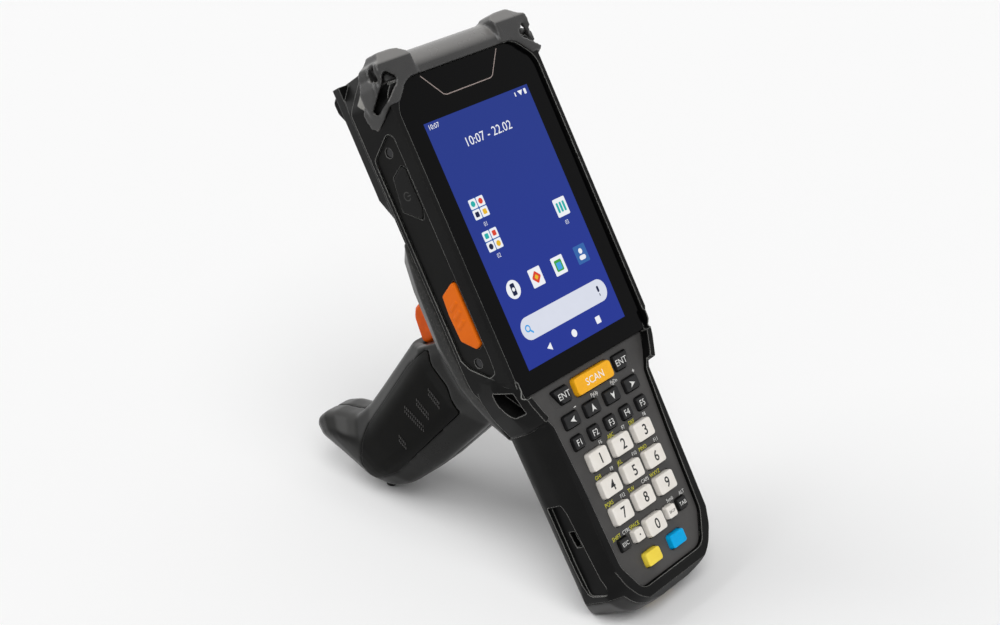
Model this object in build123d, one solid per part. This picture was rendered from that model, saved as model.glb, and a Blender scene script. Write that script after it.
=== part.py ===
from build123d import *
import os
from math import cos, radians, sin

# Portable barcode data terminal with a pistol grip.
# The device is drawn lying on its back: x to the right, y up the display towards
# the scan window, z out of the cover glass, whose top face is z = 0.
# At the end the whole device is stood up on its keypad end and the grip's foot.

# ---------------------------------------------------------------- driving sizes
HEAD_W = 78.0            # width of the display head
HANDLE_W = 62.0          # width of the keypad handle
HEAD_TOP = 72.2          # y of the head's flat scan end
TAIL_END = -142.6        # y of the keypad end
HEAD_BACK = -27.5        # z of the head's back plate
HANDLE_BACK = -27.0      # z of the handle's back
RIM_TOP = 1.3            # the rim stands this far above the glass
SEAM_Z = -19.2           # seam between front and rear housing
GLASS_RIM = 2.7          # width of the rim beside the glass
GLASS_TOP = 62.3
GLASS_BOTTOM = -53.4
GLASS_T = 1.1
DISPLAY_W = 60.0
DISPLAY_H = 99.0
DISPLAY_T = 3.0
PANEL_TOP_Z = -1.2       # keypad panel lies this far below the glass
PANEL_T = 1.2
KEY_TOP_Z = 0.8
KEY_GAP = 0.3            # free space round each key
KEY_TRAVEL = 0.8
KEY_FLANGE = 0.5         # the flange that keeps a key in is this much wider
KEY_FLANGE_T = 0.7
KEY_EDGE = 0.5
MAT_T = 1.4
SIDE_TRAVEL = 0.6        # travel of the side keys
SEAT = 0.2               # gap between a moving piece and its stop
FIT = 0.3                # free space between pieces that move past each other
PIN_R = 1.5
PIN_FIT = 0.05           # radial running clearance on the trigger pin
TRIGGER_W = 13.0
GRIP_W = 33.0
FOOT_R = 2.2
BATTERY_W = 47.0
BATTERY_TOP = -84.5
BATTERY_END = -128.0
BATTERY_DEEP = -14.0     # z of the battery's inner face

HEAD_X = HEAD_W / 2
HANDLE_X = HANDLE_W / 2
GLASS_W = HEAD_W - 2 * GLASS_RIM
DISPLAY_LOW = GLASS_BOTTOM + 3.9
WIDE = 60.0              # reach of cutting prisms past every wall


# ---------------------------------------------------------------- form helpers
def mirrored(half):
    """Right-hand points from top to bottom, followed by their mirror images."""
    return list(half) + [(-x, *rest) for x, *rest in reversed(half)]


def outline(points, radius=0.0):
    """Closed flat face with rounded corners; a point may carry its own radius."""
    radii = [p[2] if len(p) > 2 else radius for p in points]
    corners = [(p[0], p[1]) for p in points]
    return make_face(FilletPolyline(*corners, radius=radii, close=True))


def plan_prism(points, low, high, radius=0.0):
    """Outline in x and y, raised from z = low to z = high."""
    return extrude(Plane.XY.offset(low) * outline(points, radius), high - low)


def side_prism(points, low, high, radius=0.0):
    """Outline in y and z, raised from x = low to x = high."""
    return extrude(Plane.YZ.offset(low) * outline(points, radius), high - low)


def slab(x0, x1, y0, y1, z0, z1):
    return Pos((x0 + x1) / 2, (y0 + y1) / 2, (z0 + z1) / 2) * Box(x1 - x0, y1 - y0, z1 - z0)


def skin(stations):
    """Body through mirrored cross-sections, each given as (y, right-hand points)."""
    faces = []
    for y, half in stations:
        plane = Plane(origin=(0, y, 0), x_dir=(1, 0, 0), z_dir=(0, -1, 0))
        faces.append(plane * outline(mirrored(half)))
    return loft(faces, ruled=True)


def both(shape):
    """The shape and its mirror image on the other side of the device."""
    return Compound(children=[*shape.solids(), *mirror(shape, about=Plane.YZ).solids()])


def joined(*shapes):
    body = shapes[0]
    for shape in shapes[1:]:
        body = body + shape
    return body


# ---------------------------------------------------------------- main body
SIDE_DRAFT = 0.12        # the head's sides lean in by this much towards the glass


def head_section():
    return [(HEAD_X - SIDE_DRAFT, RIM_TOP, 0.6), (HEAD_X, -11.4, 1.0), (HEAD_X, SEAM_Z - 0.8, 1.2),
            (HEAD_X - 7.6, HEAD_BACK, 4.0)]


def handle_section(x=HANDLE_X, rim_z=0.2):
    return [(x - 2.7, rim_z, 0.8), (x, -8.0, 16.0), (x, -18.4, 9.0), (x - 10.0, HANDLE_BACK, 9.0)]


SHOULDER_TOP = -46.0
SHOULDER_END = -66.5


TAIL_WAIST = -8.0        # z where the keypad end is longest and widest


def plan_ring(tail):
    """Plan of the whole body, ending in the given points of the keypad end."""
    return outline(mirrored([(HEAD_X - 13.0, HEAD_TOP, 6.0), (HEAD_X + 0.5, 58.5, 8.0),
                             (HEAD_X + 0.5, TAIL_END + 30.0), *tail]))


def body_blank():
    form = skin([
        (HEAD_TOP + 1, head_section()),
        (SHOULDER_TOP, head_section()),
        (SHOULDER_END, handle_section(HANDLE_X + 0.8)),
        (TAIL_END - 1, handle_section(HANDLE_X - 0.6)),
    ])
    roll = HEAD_TOP - 62.8
    rim = plan_ring([(HANDLE_X - 2.8, TAIL_END + 23.0, 12.0), (HANDLE_X - 6.2, TAIL_END + 14.5, 16.0),
                     (HANDLE_X - 12.0, TAIL_END + 5.8, 16.0), (8.0, TAIL_END + 3.4, 16.0)])
    waist = plan_ring([(HANDLE_X + 0.3, TAIL_END + 21.0, 12.0), (HANDLE_X - 2.0, TAIL_END + 9.0, 16.0),
                       (HANDLE_X - 10.5, TAIL_END + 1.4, 16.0), (8.0, TAIL_END, 16.0)])
    plan = loft([Plane.XY.offset(2.0) * rim, Plane.XY.offset(TAIL_WAIST) * waist], ruled=True)
    plan = plan + extrude(Plane.XY.offset(-WIDE) * waist, WIDE + TAIL_WAIST)
    side = side_prism([
        (HEAD_TOP, RIM_TOP + 0.2, roll), (HEAD_TOP, -10.5, 0.8), (HEAD_TOP - 2.6, HEAD_BACK - 1, 1.5),
        (TAIL_END + 6.0, HANDLE_BACK - 1, 4.0), (TAIL_END, -18.0, 5.0),
        (TAIL_END, -5.0, 5.0), (TAIL_END + 6.5, 1.6)], -WIDE, WIDE)
    return form & plan & side


def below_seam():
    """Everything on the back side of the seam line that runs round the body."""
    return side_prism([
        (WIDE + 30, SEAM_Z), (SHOULDER_TOP + 4, SEAM_Z), (-51.0, -17.5), (-62.0, -17.5),
        (-67.4, -21.5), (PLATE_LOW, HANDLE_BACK - 4), (PLATE_LOW, -WIDE), (WIDE + 30, -WIDE)],
        -WIDE, WIDE)


# ---------------------------------------------------------------- scan end
EAR_TOP = 74.0
BUMPER_LOW = -9.0        # the bumper reaches this deep on the scan end
EAR_LOW = -13.0
BAND_Z = (-8.6, -0.4)     # height of the bulging band behind the ear's window
ROLL_START = 62.6


EAR_WINDOW = [(67.4, 3.3), (64.3, 6.0), (62.9, 6.2), (60.8, 3.8), (57.8, 1.2), (54.2, -4.9),
              (56.2, -5.6), (59.4, -2.6), (64.0, 1.2), (66.0, 1.9)]
EAR_HOLE_DEEP = 7.5


def ear_window():
    """Opening between the ear's two straps, sunk at 45 degrees across the head's corner."""
    corner = Plane(origin=(HEAD_X, 0, 0), x_dir=(0, 1, 0), z_dir=(1, 0, 1))
    return extrude(corner.offset(-EAR_HOLE_DEEP) * outline(EAR_WINDOW, 0.5), 2 * EAR_HOLE_DEEP)


def ear_hole():
    """The window's upper end, which runs on down into the roll."""
    return ear_window() & slab(0, WIDE, ROLL_START + 0.8, WIDE + 30, -10, 10)


def top_bumper(blank):
    roll = blank & slab(-WIDE, WIDE, ROLL_START, WIDE + 30, BUMPER_LOW, 10)
    ear = [(-17.5, ROLL_START), (-17.0, 71.6), (-14.4, EAR_TOP - 0.5), (-11.5, EAR_TOP), (-5.4, EAR_TOP),
           (-2.8, 71.4), (-0.2, 70.2), (0.6, 68.0), (0.0, 64.5), (1.6, 59.2), (1.6, 56.8), (0.2, 49.0),
           (-6.0, 49.0)]
    band = [(-2.0, 66.4), (1.0, 66.0), (2.7, 63.0), (2.9, 59.0), (1.6, 55.0), (-2.0, 55.0)]
    ear = plan_prism([(HEAD_X + x, y) for x, y in ear], EAR_LOW, 2.4)
    ear = ear + plan_prism([(HEAD_X + x, y) for x, y in band], *BAND_Z)
    tail = side_prism([(76, 2.6, 1.0), (56.2, 2.6, 1.0), (51.6, -5.0, 2.0), (49.2, -9.4, 0.8),
                       (50.8, -12.1, 0.6), (56.4, -12.3, 0.6), (58.8, -9.8, 1.0), (67.0, -9.0, 1.0),
                       (76, -6.5, 1.0)], 20, WIDE)
    facet = side_prism([(66.5, 5.0), (76, 5.0), (76, -2.2)], 20, WIDE)
    loop = Box(12.0, 5.4, 3.2)
    loop = Pos(HEAD_X - 0.8, 67.2, -1.6) * Rot(0, 0, 45) * fillet(loop.edges().filter_by(Axis.X), 1.4)
    corner = (ear & tail) - facet - ear_window()
    keep = plan_prism(glass_points(FIT), -2, 12, 9.5)
    corner = corner - blank - keep
    body = joined(roll, both(corner).solids()[0], both(corner).solids()[1])
    return body - both(loop) - both(ear_hole()) - keep


def glass_points(grow=0.0):
    x = GLASS_W / 2 + grow
    return mirrored([(x - 8.7, GLASS_TOP + grow), (x, GLASS_TOP - 8.3 + grow),
                     (x, GLASS_BOTTOM - grow, 1.5)])


WINDOW_W = 31.0
WINDOW_Z = (-25.5, -11.5)
WINDOW_SEAT = HEAD_TOP - 4.6     # y of the pane's inner face
WINDOW_T = 1.2


def window_block(outer):
    """Rounded window outline from the pane's seat out to y = outer."""
    low, high = WINDOW_Z
    block = slab(-WINDOW_W / 2, WINDOW_W / 2, WINDOW_SEAT, outer, low, high)
    return fillet(block.edges().filter_by(Axis.Y), 2.0)


def scan_window():
    return window_block(WINDOW_SEAT + WINDOW_T)


def scan_window_cut():
    return window_block(HEAD_TOP + 5.0)


ENGINE_W, ENGINE_L, ENGINE_H = 24.0, 15.0, 13.0
ENGINE_LOW = WINDOW_Z[0] + 0.5
ENGINE_FACE = WINDOW_SEAT - 1.0
LENS_X, LENS_R = 5.0, 3.2
AIMER_X, AIMER_R = -5.5, 2.2


def scan_engine():
    body = slab(-ENGINE_W / 2, ENGINE_W / 2, ENGINE_FACE - ENGINE_L, ENGINE_FACE,
                ENGINE_LOW, ENGINE_LOW + ENGINE_H)
    for x, radius in ((LENS_X, LENS_R), (AIMER_X, AIMER_R)):
        barrel = Rot(90, 0, 0) * Cylinder(radius, 3.0)
        body = body - Pos(x, ENGINE_FACE, ENGINE_LOW + ENGINE_H / 2) * barrel
    return body


def scan_engine_cut():
    side = ENGINE_W / 2 + 1.5
    return slab(-side, side, ENGINE_FACE - ENGINE_L, WINDOW_SEAT, ENGINE_LOW, ENGINE_LOW + ENGINE_H)


PIPE_Z = (-16.0, -10.4)


def light_pipe_zone():
    low, high = PIPE_Z
    zone = [(6.0, 56.6), (6.0, 62.0), (-11.5, 79.0), (-11.5, 68.4), (-2.3, 59.2), (-2.3, 56.6)]
    sides = side_prism([(57.2, high), (WIDE + 30, high), (WIDE + 30, low), (60.6, low)], 0, WIDE)
    return plan_prism([(HEAD_X + x, y) for x, y in zone], low, high) & sides


def light_pipes(blank):
    return both(blank & light_pipe_zone())


# ---------------------------------------------------------------- rear housing and grip plate
SNOUT_DEEP = -35.9


def rear_hump():
    """Raised upper back that holds the scan engine, with a deeper lip at the scan end."""
    hump = skin([
        (HEAD_TOP - 2.7, [(34.0, HEAD_BACK + 2), (33.0, -30.0, 2.0), (29.6, -33.4, 2.0)]),
        (28.0, [(34.0, HEAD_BACK + 2), (33.2, -30.2, 2.0), (29.8, -33.6, 2.0)]),
        (16.0, [(32.0, HEAD_BACK + 2), (30.0, -28.4, 0.4), (27.0, -29.0, 0.4)]),
    ])
    lip = side_prism([(69.0, -25), (68.6, -32.0, 2.0), (65.6, SNOUT_DEEP, 2.0),
                      (61.6, SNOUT_DEEP + 0.2, 2.0),
                      (57.0, -33.2, 2.0), (57.0, -25)], -29.6, 29.6)
    return hump + lip


PLATE_TOP = 11.0
PLATE_LOW = -71.6
PLATE_BACK = -34.5
CORE_IN = 3.0            # the rear housing is this much slimmer under the grip plate


def plate_blank():
    return skin([
        (PLATE_TOP, [(HEAD_X, -19.5), (38.6, -21.2, 0.6), (31.0, -28.8, 2.0), (25.0, -31.6, 3.0)]),
        (5.0, [(HEAD_X, -19.5), (38.8, -22.5, 1.0), (33.5, -30.6, 2.5), (27.0, -33.8, 3.0)]),
        (-6.0, [(HEAD_X, -19.5), (38.6, -24.5, 1.5), (34.0, -31.8, 2.5), (28.0, PLATE_BACK, 3.0)]),
        (-28.0, [(HEAD_X, -19.5), (38.4, -26.0, 2.0), (34.2, -32.2, 2.5), (28.0, PLATE_BACK, 3.0)]),
        (-44.0, [(HEAD_X - 0.2, -18.5), (37.8, -24.8, 2.0), (33.0, -30.8, 2.5), (27.0, PLATE_BACK, 3.0)]),
        (-52.0, [(37.0, -17.0), (36.2, -23.2, 2.0), (31.0, -29.8, 2.5), (25.0, PLATE_BACK + 0.4, 3.0)]),
        (-61.0, [(33.6, -16.5), (33.0, -21.4, 2.0), (28.0, -28.6, 2.5), (22.0, -33.2, 3.0)]),
        (-68.0, [(31.9, -15.5), (31.6, -18.5, 1.5), (26.0, -25.6, 2.5), (19.0, -30.8, 3.0)]),
        (PLATE_LOW, [(31.2, -15.0), (31.0, -17.2, 1.0), (23.0, -25.0, 2.5), (17.0, -29.2, 3.0)]),
    ])


def plate_core():
    """Back of the housing under the grip plate."""
    return skin([
        (PLATE_TOP + 1, [(HEAD_X - CORE_IN, -10), (HEAD_X - CORE_IN, -21.0), (30.0, HEAD_BACK)]),
        (SHOULDER_TOP, [(HEAD_X - CORE_IN, -10), (HEAD_X - CORE_IN, -21.0), (29.0, HEAD_BACK)]),
        (PLATE_LOW - 1, [(HANDLE_X - CORE_IN, -10), (HANDLE_X - CORE_IN - 3, -18.0),
                         (16.0, HEAD_BACK + 0.6)]),
    ])


def grip_mount_plate():
    zone = slab(-WIDE, WIDE, PLATE_LOW, PLATE_TOP, -WIDE, WIDE)
    return (plate_blank() & below_seam() & zone) - plate_core()


def rear_housing(blank):
    back = blank & below_seam()
    upper = back & slab(-WIDE, WIDE, PLATE_TOP, WIDE + 30, -WIDE, WIDE)
    lower = back & plate_core() & slab(-WIDE, WIDE, PLATE_LOW, PLATE_TOP, -WIDE, WIDE)
    hump = rear_hump() & slab(-WIDE, WIDE, PLATE_TOP, HEAD_TOP, -WIDE, -20)
    return joined(upper, lower, hump)


# ---------------------------------------------------------------- shoulders
SLOT_DEEP = 4.2
SLOT_TURN = 20.5         # the guard runs inward by this angle from the head's side
WAIST_Z = -7.0
CREST_Z = 2.3


def shoulder_pod():
    """Raised guard along the shoulder, whose outer wall leans in towards its crest."""
    foot = [(-6.0, -38.0, 2.0), (-0.4, -40.0, 3.0), (0.0, -50.0, 8.0), (-2.0, -57.5, 6.0),
            (-6.6, -66.8, 2.0), (-13.0, -66.0, 1.0)]
    waist = [(-6.0, -40.0, 2.0), (0.5, -42.6, 3.0), (1.4, -49.6, 8.0), (-0.6, -56.8, 6.0),
             (-5.8, -66.6, 2.0), (-12.0, -65.0, 1.0)]
    crest = [(-5.4, -46.4, 0.6), (-2.2, -46.9, 0.8), (-2.4, -50.6, 4.0), (-3.9, -56.4, 8.0),
             (-7.2, -64.2, 0.8), (-9.4, -62.8, 0.6)]
    rings = [Plane.XY.offset(z) * outline([(HEAD_X + x, y, r) for x, y, r in ring])
             for z, ring in ((-16.5, foot), (WAIST_Z, waist), (CREST_Z, crest))]
    return loft(rings, ruled=True)


def strap_slot():
    """Slanted recess in the guard's outer wall for the hook of a hand strap."""
    a = radians(SLOT_TURN)
    wall = Plane(origin=(HEAD_X + 0.6, -48.0, 0), x_dir=(-sin(a), -cos(a), 0),
                 z_dir=(-cos(a), sin(a), 0))
    face = outline([(-0.6, -8.4), (2.6, -0.9), (11.4, -1.2), (11.2, -6.0), (4.8, -8.8)], 0.8)
    return extrude(wall.offset(-SLOT_DEEP) * face, 2 * SLOT_DEEP)


# ---------------------------------------------------------------- side walls
PANEL_X = HEAD_X - 0.8
SIDE_PANEL = [(48.0, -6.2, 2.5), (45.6, -3.9, 2.0), (-36.4, -3.6, 3.0), (-41.6, -4.0, 2.0),
              (-42.6, -7.5, 2.0), (-37.6, -15.2, 2.0), (-34.0, -17.6, 2.0), (41.0, -17.6, 3.0)]
POWER_KEY = [(35.8, -6.9), (34.4, -5.3), (19.8, -5.3), (16.3, -7.2), (21.4, -15.0), (33.0, -12.8)]
SCAN_KEY = [(-6.8, -5.4), (-10.5, -12.9), (-17.5, -13.6), (-27.4, -13.2), (-31.6, -7.4), (-30.4, -4.9),
            (-9.0, -4.9)]
SCREW_SPOTS = [(41.5, -10.0), (-36.6, -10.6)]
SCREW_HEAD_R = 1.6
SCREW_SHANK_R = 0.9
SIDE_PANEL_T = 1.3
SIDE_FLANGE_T = 0.8
SIDE_FLANGE_X = PANEL_X - SIDE_PANEL_T - SEAT - SIDE_FLANGE_T


def grown(points, by):
    face = outline(points, 0.6)
    return offset(face, by)


def side_key(points, proud, flange):
    inner = PANEL_X - SIDE_PANEL_T - 0.6
    cap = extrude(Plane.YZ.offset(inner) * outline(points, 1.2), PANEL_X + proud - inner)
    cap = chamfer(cap.faces().sort_by(Axis.X)[-1].edges(), 0.3)
    ring = extrude(Plane.YZ.offset(SIDE_FLANGE_X) * grown(points, flange), SIDE_FLANGE_T)
    return cap + ring


def side_key_ribs(proud):
    rib = Box(0.7, 1.1, 4.6)
    return joined(*[Pos(PANEL_X + proud, y, -9.3) * Rot(-28, 0, 0) * rib for y in (-15.0, -18.4, -21.8)])


def side_key_hole(points, flange):
    through = extrude(Plane.YZ.offset(PANEL_X - 4.2) * grown(points, FIT), 8.0)
    low = SIDE_FLANGE_X - SIDE_TRAVEL - FIT
    deep = extrude(Plane.YZ.offset(low) * grown(points, flange + FIT), PANEL_X - SIDE_PANEL_T - low)
    return through, deep


SCAN_PROUD = 1.3
POWER_PROUD = 0.5
SIDE_FLANGE = 0.8


def power_key():
    return mirror(side_key(POWER_KEY, POWER_PROUD, SIDE_FLANGE), about=Plane.YZ)


def scan_side_key():
    return side_key(SCAN_KEY, SCAN_PROUD, SIDE_FLANGE) + side_key_ribs(SCAN_PROUD)


def side_panel(keys):
    plate = extrude(Plane.YZ.offset(PANEL_X - SIDE_PANEL_T) * outline(SIDE_PANEL), SIDE_PANEL_T)
    for points in keys:
        plate = plate - side_key_hole(points, SIDE_FLANGE)[0]
    for y, z in SCREW_SPOTS:
        plate = plate - Pos(PANEL_X, y, z) * Rot(0, 90, 0) * Cylinder(SCREW_HEAD_R + 0.2, 4.0)
    return plate


def side_panels():
    left = mirror(side_panel([SCAN_KEY, POWER_KEY]), about=Plane.YZ)
    return Compound(children=[*left.solids(), *side_panel([SCAN_KEY]).solids()])


def side_cuts(keys):
    """Recess in a side wall for its panel, keys and screws."""
    cut = extrude(Plane.YZ.offset(PANEL_X - SIDE_PANEL_T) * outline(SIDE_PANEL), 6.0)
    for points in keys:
        cut = cut + side_key_hole(points, SIDE_FLANGE)[1]
    for y, z in SCREW_SPOTS:
        cut = cut + Pos(PANEL_X - 4.0, y, z) * Rot(0, 90, 0) * Cylinder(SCREW_SHANK_R, 8.0)
    return cut


def housing_screws():
    screws = []
    for y, z in SCREW_SPOTS:
        head = Pos(PANEL_X - SIDE_PANEL_T + 0.4, y, z) * Rot(0, 90, 0) * Cylinder(SCREW_HEAD_R, 0.8)
        shank = Pos(PANEL_X - SIDE_PANEL_T - 2.0, y, z) * Rot(0, 90, 0) * Cylinder(SCREW_SHANK_R, 4.0)
        screws.append(head + shank)
    return Compound(children=screws)


POCKET = [(-94.2, -15.6, 0.8), (-94.2, -8.6, 1.0), (-97.5, -7.6, 1.0), (-126.6, -5.8, 1.0),
          (-130.2, -6.2, 1.6), (-129.6, -14.8, 2.0), (-117.0, -15.6, 4.0)]
WINDOW_IN_POCKET = [(-105.0, -12.4), (-105.0, -8.6), (-111.0, -8.9), (-111.0, -11.6)]


def handle_pocket():
    """Recess low on the side of the handle, with a small catch window."""
    shallow = side_prism(POCKET, HANDLE_X - 2.0, WIDE)
    return shallow + side_prism(WINDOW_IN_POCKET, HANDLE_X - 4.5, WIDE)


# ---------------------------------------------------------------- keypad
WIDE_KEY = (10.3, 7.2)
SMALL_KEY = (5.9, 4.8)
ARROW_KEY = (8.2, 5.0)
DIGIT_X = 13.1
F_X = 9.3
ARROW_X = 5.8
ROW_Y = {"enter": -59.4, "arrow": -68.6, "f": -76.6, "one": -85.3, "four": -95.8, "seven": -106.3,
         "zero": -116.8, "colour": -126.1}


def key_table():
    """Every key as name: (x, y, width, height, top height above the glass, corner radius)."""
    keys = {}
    for row, first in (("one", 1), ("four", 4), ("seven", 7)):
        for column in range(3):
            keys[f"key_{first + column}"] = ((column - 1) * DIGIT_X, ROW_Y[row], *WIDE_KEY, KEY_TOP_Z, 1.3)
    keys["key_0"] = (0.0, ROW_Y["zero"], *WIDE_KEY, KEY_TOP_Z, 1.3)
    keys["key_point"] = (-9.9, ROW_Y["zero"] + 0.4, 5.2, 5.0, KEY_TOP_Z, 1.0)
    keys["key_backspace"] = (9.9, ROW_Y["zero"] + 0.4, 5.2, 5.0, KEY_TOP_Z, 1.0)
    keys["key_escape"] = (-17.4, ROW_Y["zero"] + 0.4, 5.4, 4.4, 0.0, 0.6)
    keys["key_tab"] = (17.4, ROW_Y["zero"] + 0.4, 5.4, 4.4, 0.0, 0.6)
    for number in range(5):
        keys[f"key_f{number + 1}"] = ((number - 2) * F_X, ROW_Y["f"], *SMALL_KEY, 0.1, 0.9)
    for place, name in enumerate(("left", "up", "down", "right")):
        keys[f"key_{name}"] = ((place - 1.5) * 2 * ARROW_X, ROW_Y["arrow"], *ARROW_KEY, 0.1, 0.8)
    keys["key_enter_left"] = (-17.4, ROW_Y["enter"], 8.9, 5.8, 0.1, 0.8)
    keys["key_enter_right"] = (17.4, ROW_Y["enter"], 8.9, 5.8, 0.1, 0.8)
    keys["key_scan"] = (0.0, ROW_Y["enter"], 21.0, 6.8, KEY_TOP_Z, 1.6)
    keys["key_yellow"] = (-7.45, ROW_Y["colour"], 8.4, 5.4, KEY_TOP_Z, 1.2)
    keys["key_blue"] = (7.45, ROW_Y["colour"], 8.4, 5.4, KEY_TOP_Z, 1.2)
    return keys


KEY_BOTTOM = PANEL_TOP_Z - PANEL_T - SEAT - KEY_FLANGE_T
MAT_TOP = KEY_BOTTOM - KEY_TRAVEL - 0.1


def key_solid(x, y, w, h, top, r):
    cap = extrude(Plane.XY.offset(KEY_BOTTOM) * Pos(x, y) * RectangleRounded(w, h, r), top - KEY_BOTTOM)
    cap = chamfer(cap.faces().sort_by(Axis.Z)[-1].edges(), KEY_EDGE)
    wider = 2 * (KEY_FLANGE + KEY_GAP)
    return cap + slab(x - (w + wider) / 2, x + (w + wider) / 2, y - (h + wider) / 2,
                      y + (h + wider) / 2, KEY_BOTTOM, KEY_BOTTOM + KEY_FLANGE_T)


def panel_points(grow=0.0):
    right = [(HEAD_X - 5.8, GLASS_BOTTOM - FIT + grow, 0.6), (HANDLE_X - 0.4, -60.4, 3.0),
             (HANDLE_X - 4.0, -67.0, 3.0), (HANDLE_X - 5.6, -90.0, 8.0), (HANDLE_X - 6.8, -122.0, 8.0),
             (HANDLE_X - 13.0, -133.4 - grow, 6.0)]
    return mirrored([(x + grow, y, radius) for x, y, radius in right])


def keypad_panel():
    plate = plan_prism(panel_points(), PANEL_TOP_Z - PANEL_T, PANEL_TOP_Z)
    holes = [Pos(x, y) * RectangleRounded(w + 2 * KEY_GAP, h + 2 * KEY_GAP, r + KEY_GAP)
             for x, y, w, h, _, r in key_table().values()]
    return plate - extrude(Plane.XY.offset(PANEL_TOP_Z - PANEL_T - 1) * Sketch(children=holes), PANEL_T + 3)


def keypad_well(low):
    return slab(-24.0, 24.0, ROW_Y["colour"] - 4.5, ROW_Y["enter"] + 4.6, low, PANEL_TOP_Z)


def keypad_mat():
    return slab(-23.6, 23.6, ROW_Y["colour"] - 4.1, ROW_Y["enter"] + 4.2, MAT_TOP - MAT_T, MAT_TOP)


# ---------------------------------------------------------------- display stack
BOARD_T = 1.6
BOARD_TOP = -5.4
CAVITY_LOW = BOARD_TOP - BOARD_T
CHIPS = [(-14, 22, 14, 14), (8, 24, 12, 10), (-8, -8, 16, 12), (16, -20, 10, 16), (-18, -32, 9, 9),
         (2, 4, 7, 7)]       # middle and size of each chip on the board


def cover_glass():
    return plan_prism(glass_points(), -GLASS_T, 0.0, 9.0)


def display_module():
    return slab(-DISPLAY_W / 2, DISPLAY_W / 2, DISPLAY_LOW, DISPLAY_LOW + DISPLAY_H,
                -GLASS_T - DISPLAY_T, -GLASS_T)


def main_board():
    board = slab(-DISPLAY_W / 2, DISPLAY_W / 2, DISPLAY_LOW + 1.5, DISPLAY_LOW + DISPLAY_H - 1.5,
                 CAVITY_LOW, BOARD_TOP)
    for x, y, w, h in CHIPS:
        board = board + slab(x - w / 2, x + w / 2, y - h / 2, y + h / 2, BOARD_TOP, BOARD_TOP + 1.1)
    return board


def display_cavity():
    side = DISPLAY_W / 2 + FIT
    return slab(-side, side, DISPLAY_LOW - FIT, DISPLAY_LOW + DISPLAY_H + FIT, CAVITY_LOW, 0)


def front_housing(blank, bumper):
    body = (blank - below_seam()) + both(shoulder_pod()).solids()
    body = body - bumper - plan_prism(glass_points(FIT), -GLASS_T, 10, 9.3) - display_cavity()
    body = body - plan_prism(panel_points(FIT), PANEL_TOP_Z - PANEL_T, 10) - keypad_well(MAT_TOP - MAT_T)
    body = body - side_cuts([SCAN_KEY]) - mirror(side_cuts([SCAN_KEY, POWER_KEY]), about=Plane.YZ)
    body = body - both(handle_pocket()) - both(strap_slot()) - both(ear_hole())
    body = body - both(light_pipe_zone()) - scan_window_cut() - scan_engine_cut() - end_zone()
    body = body - battery_bay()
    return body


# ---------------------------------------------------------------- keypad end and battery
END_Y = -132.6
END_Z = -3.4
CONTACT_X = 4.0


def end_zone():
    return slab(-WIDE, WIDE, -WIDE * 4, END_Y, -WIDE, END_Z)


def end_bumper(blank):
    cap = blank & end_zone()
    for place in range(4):
        cap = cap - Pos((place - 1.5) * CONTACT_X, TAIL_END, -13.0) * Box(2.4, 1.6, 5.0)
    return cap


def dock_contacts():
    pad = Box(2.4, 0.4, 5.0)
    pads = [Pos((place - 1.5) * CONTACT_X, TAIL_END + 0.6, -13.0) * pad for place in range(4)]
    return Compound(children=pads)


def battery_bay():
    return slab(-BATTERY_W / 2 - FIT, BATTERY_W / 2 + FIT, BATTERY_END - FIT, BATTERY_TOP + FIT, -WIDE,
                BATTERY_DEEP + SEAT)


LATCH_W, LATCH_L, LATCH_TRAVEL = 16.0, 6.5, 2.4


LATCH_TOP = BATTERY_TOP - 1.6
LATCH_IN = -24.4         # z of the latch's inner face
LATCH_LIP = 1.2          # the lips that keep the latch in stand out this far


def latch_block(grow, travel, outer):
    """The latch's slide with its two lips, lengthened by its travel."""
    w = LATCH_W / 2 + grow
    low, top = LATCH_TOP - LATCH_L - travel - grow, LATCH_TOP + grow
    slide = slab(-w, w, low, top, outer, LATCH_IN + grow)
    lips = slab(-w - LATCH_LIP, w + LATCH_LIP, low, top, LATCH_IN - 1.0 - grow, LATCH_IN + grow)
    return slide + lips


def battery_latch():
    thumb = latch_block(0.0, 0.0, HANDLE_BACK + 0.4)
    for step in range(3):
        y = LATCH_TOP - 1.8 - 1.5 * step
        thumb = thumb + slab(-6.0, 6.0, y - 0.35, y + 0.35, HANDLE_BACK, HANDLE_BACK + 1.0)
    return thumb


def battery_pack(blank):
    pack = blank & slab(-BATTERY_W / 2, BATTERY_W / 2, BATTERY_END, BATTERY_TOP, -WIDE, BATTERY_DEEP)
    return pack - latch_block(SEAT, LATCH_TRAVEL, -WIDE)


# ---------------------------------------------------------------- pistol grip
GRIP_RAKE = 20.6         # lean of the grip away from square to the display
GRIP_ROOT = (-32.9, -34.0)


def on_grip(s, t):
    """Point in (y, z) at s along the grip from its root and t forward of its axis."""
    c, k = cos(radians(GRIP_RAKE)), sin(radians(GRIP_RAKE))
    return GRIP_ROOT[0] - k * s + c * t, GRIP_ROOT[1] - c * s - k * t


def grip_ring(front, back, half, nose=0.45):
    """Rounded cross-section through a front and a back point given in (y, z)."""
    span = ((front[0] - back[0]) ** 2 + (front[1] - back[1]) ** 2) ** 0.5
    ahead = (0, (front[0] - back[0]) / span, (front[1] - back[1]) / span)
    middle = (0, (front[0] + back[0]) / 2, (front[1] + back[1]) / 2)
    plane = Plane(origin=middle, x_dir=(1, 0, 0), z_dir=(0, -ahead[2], ahead[1]))
    r = min(half / (GRIP_W / 2), 1.2)
    shape = mirrored([(nose * half, span / 2, 5.5 * r), (half, span / 2 - 11.0 * r, 9.0 * r),
                      (half, 12.0 * r - span / 2, 9.0 * r), (nose * half, -span / 2, 5.5 * r)])
    return plane * outline(shape)


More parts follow.
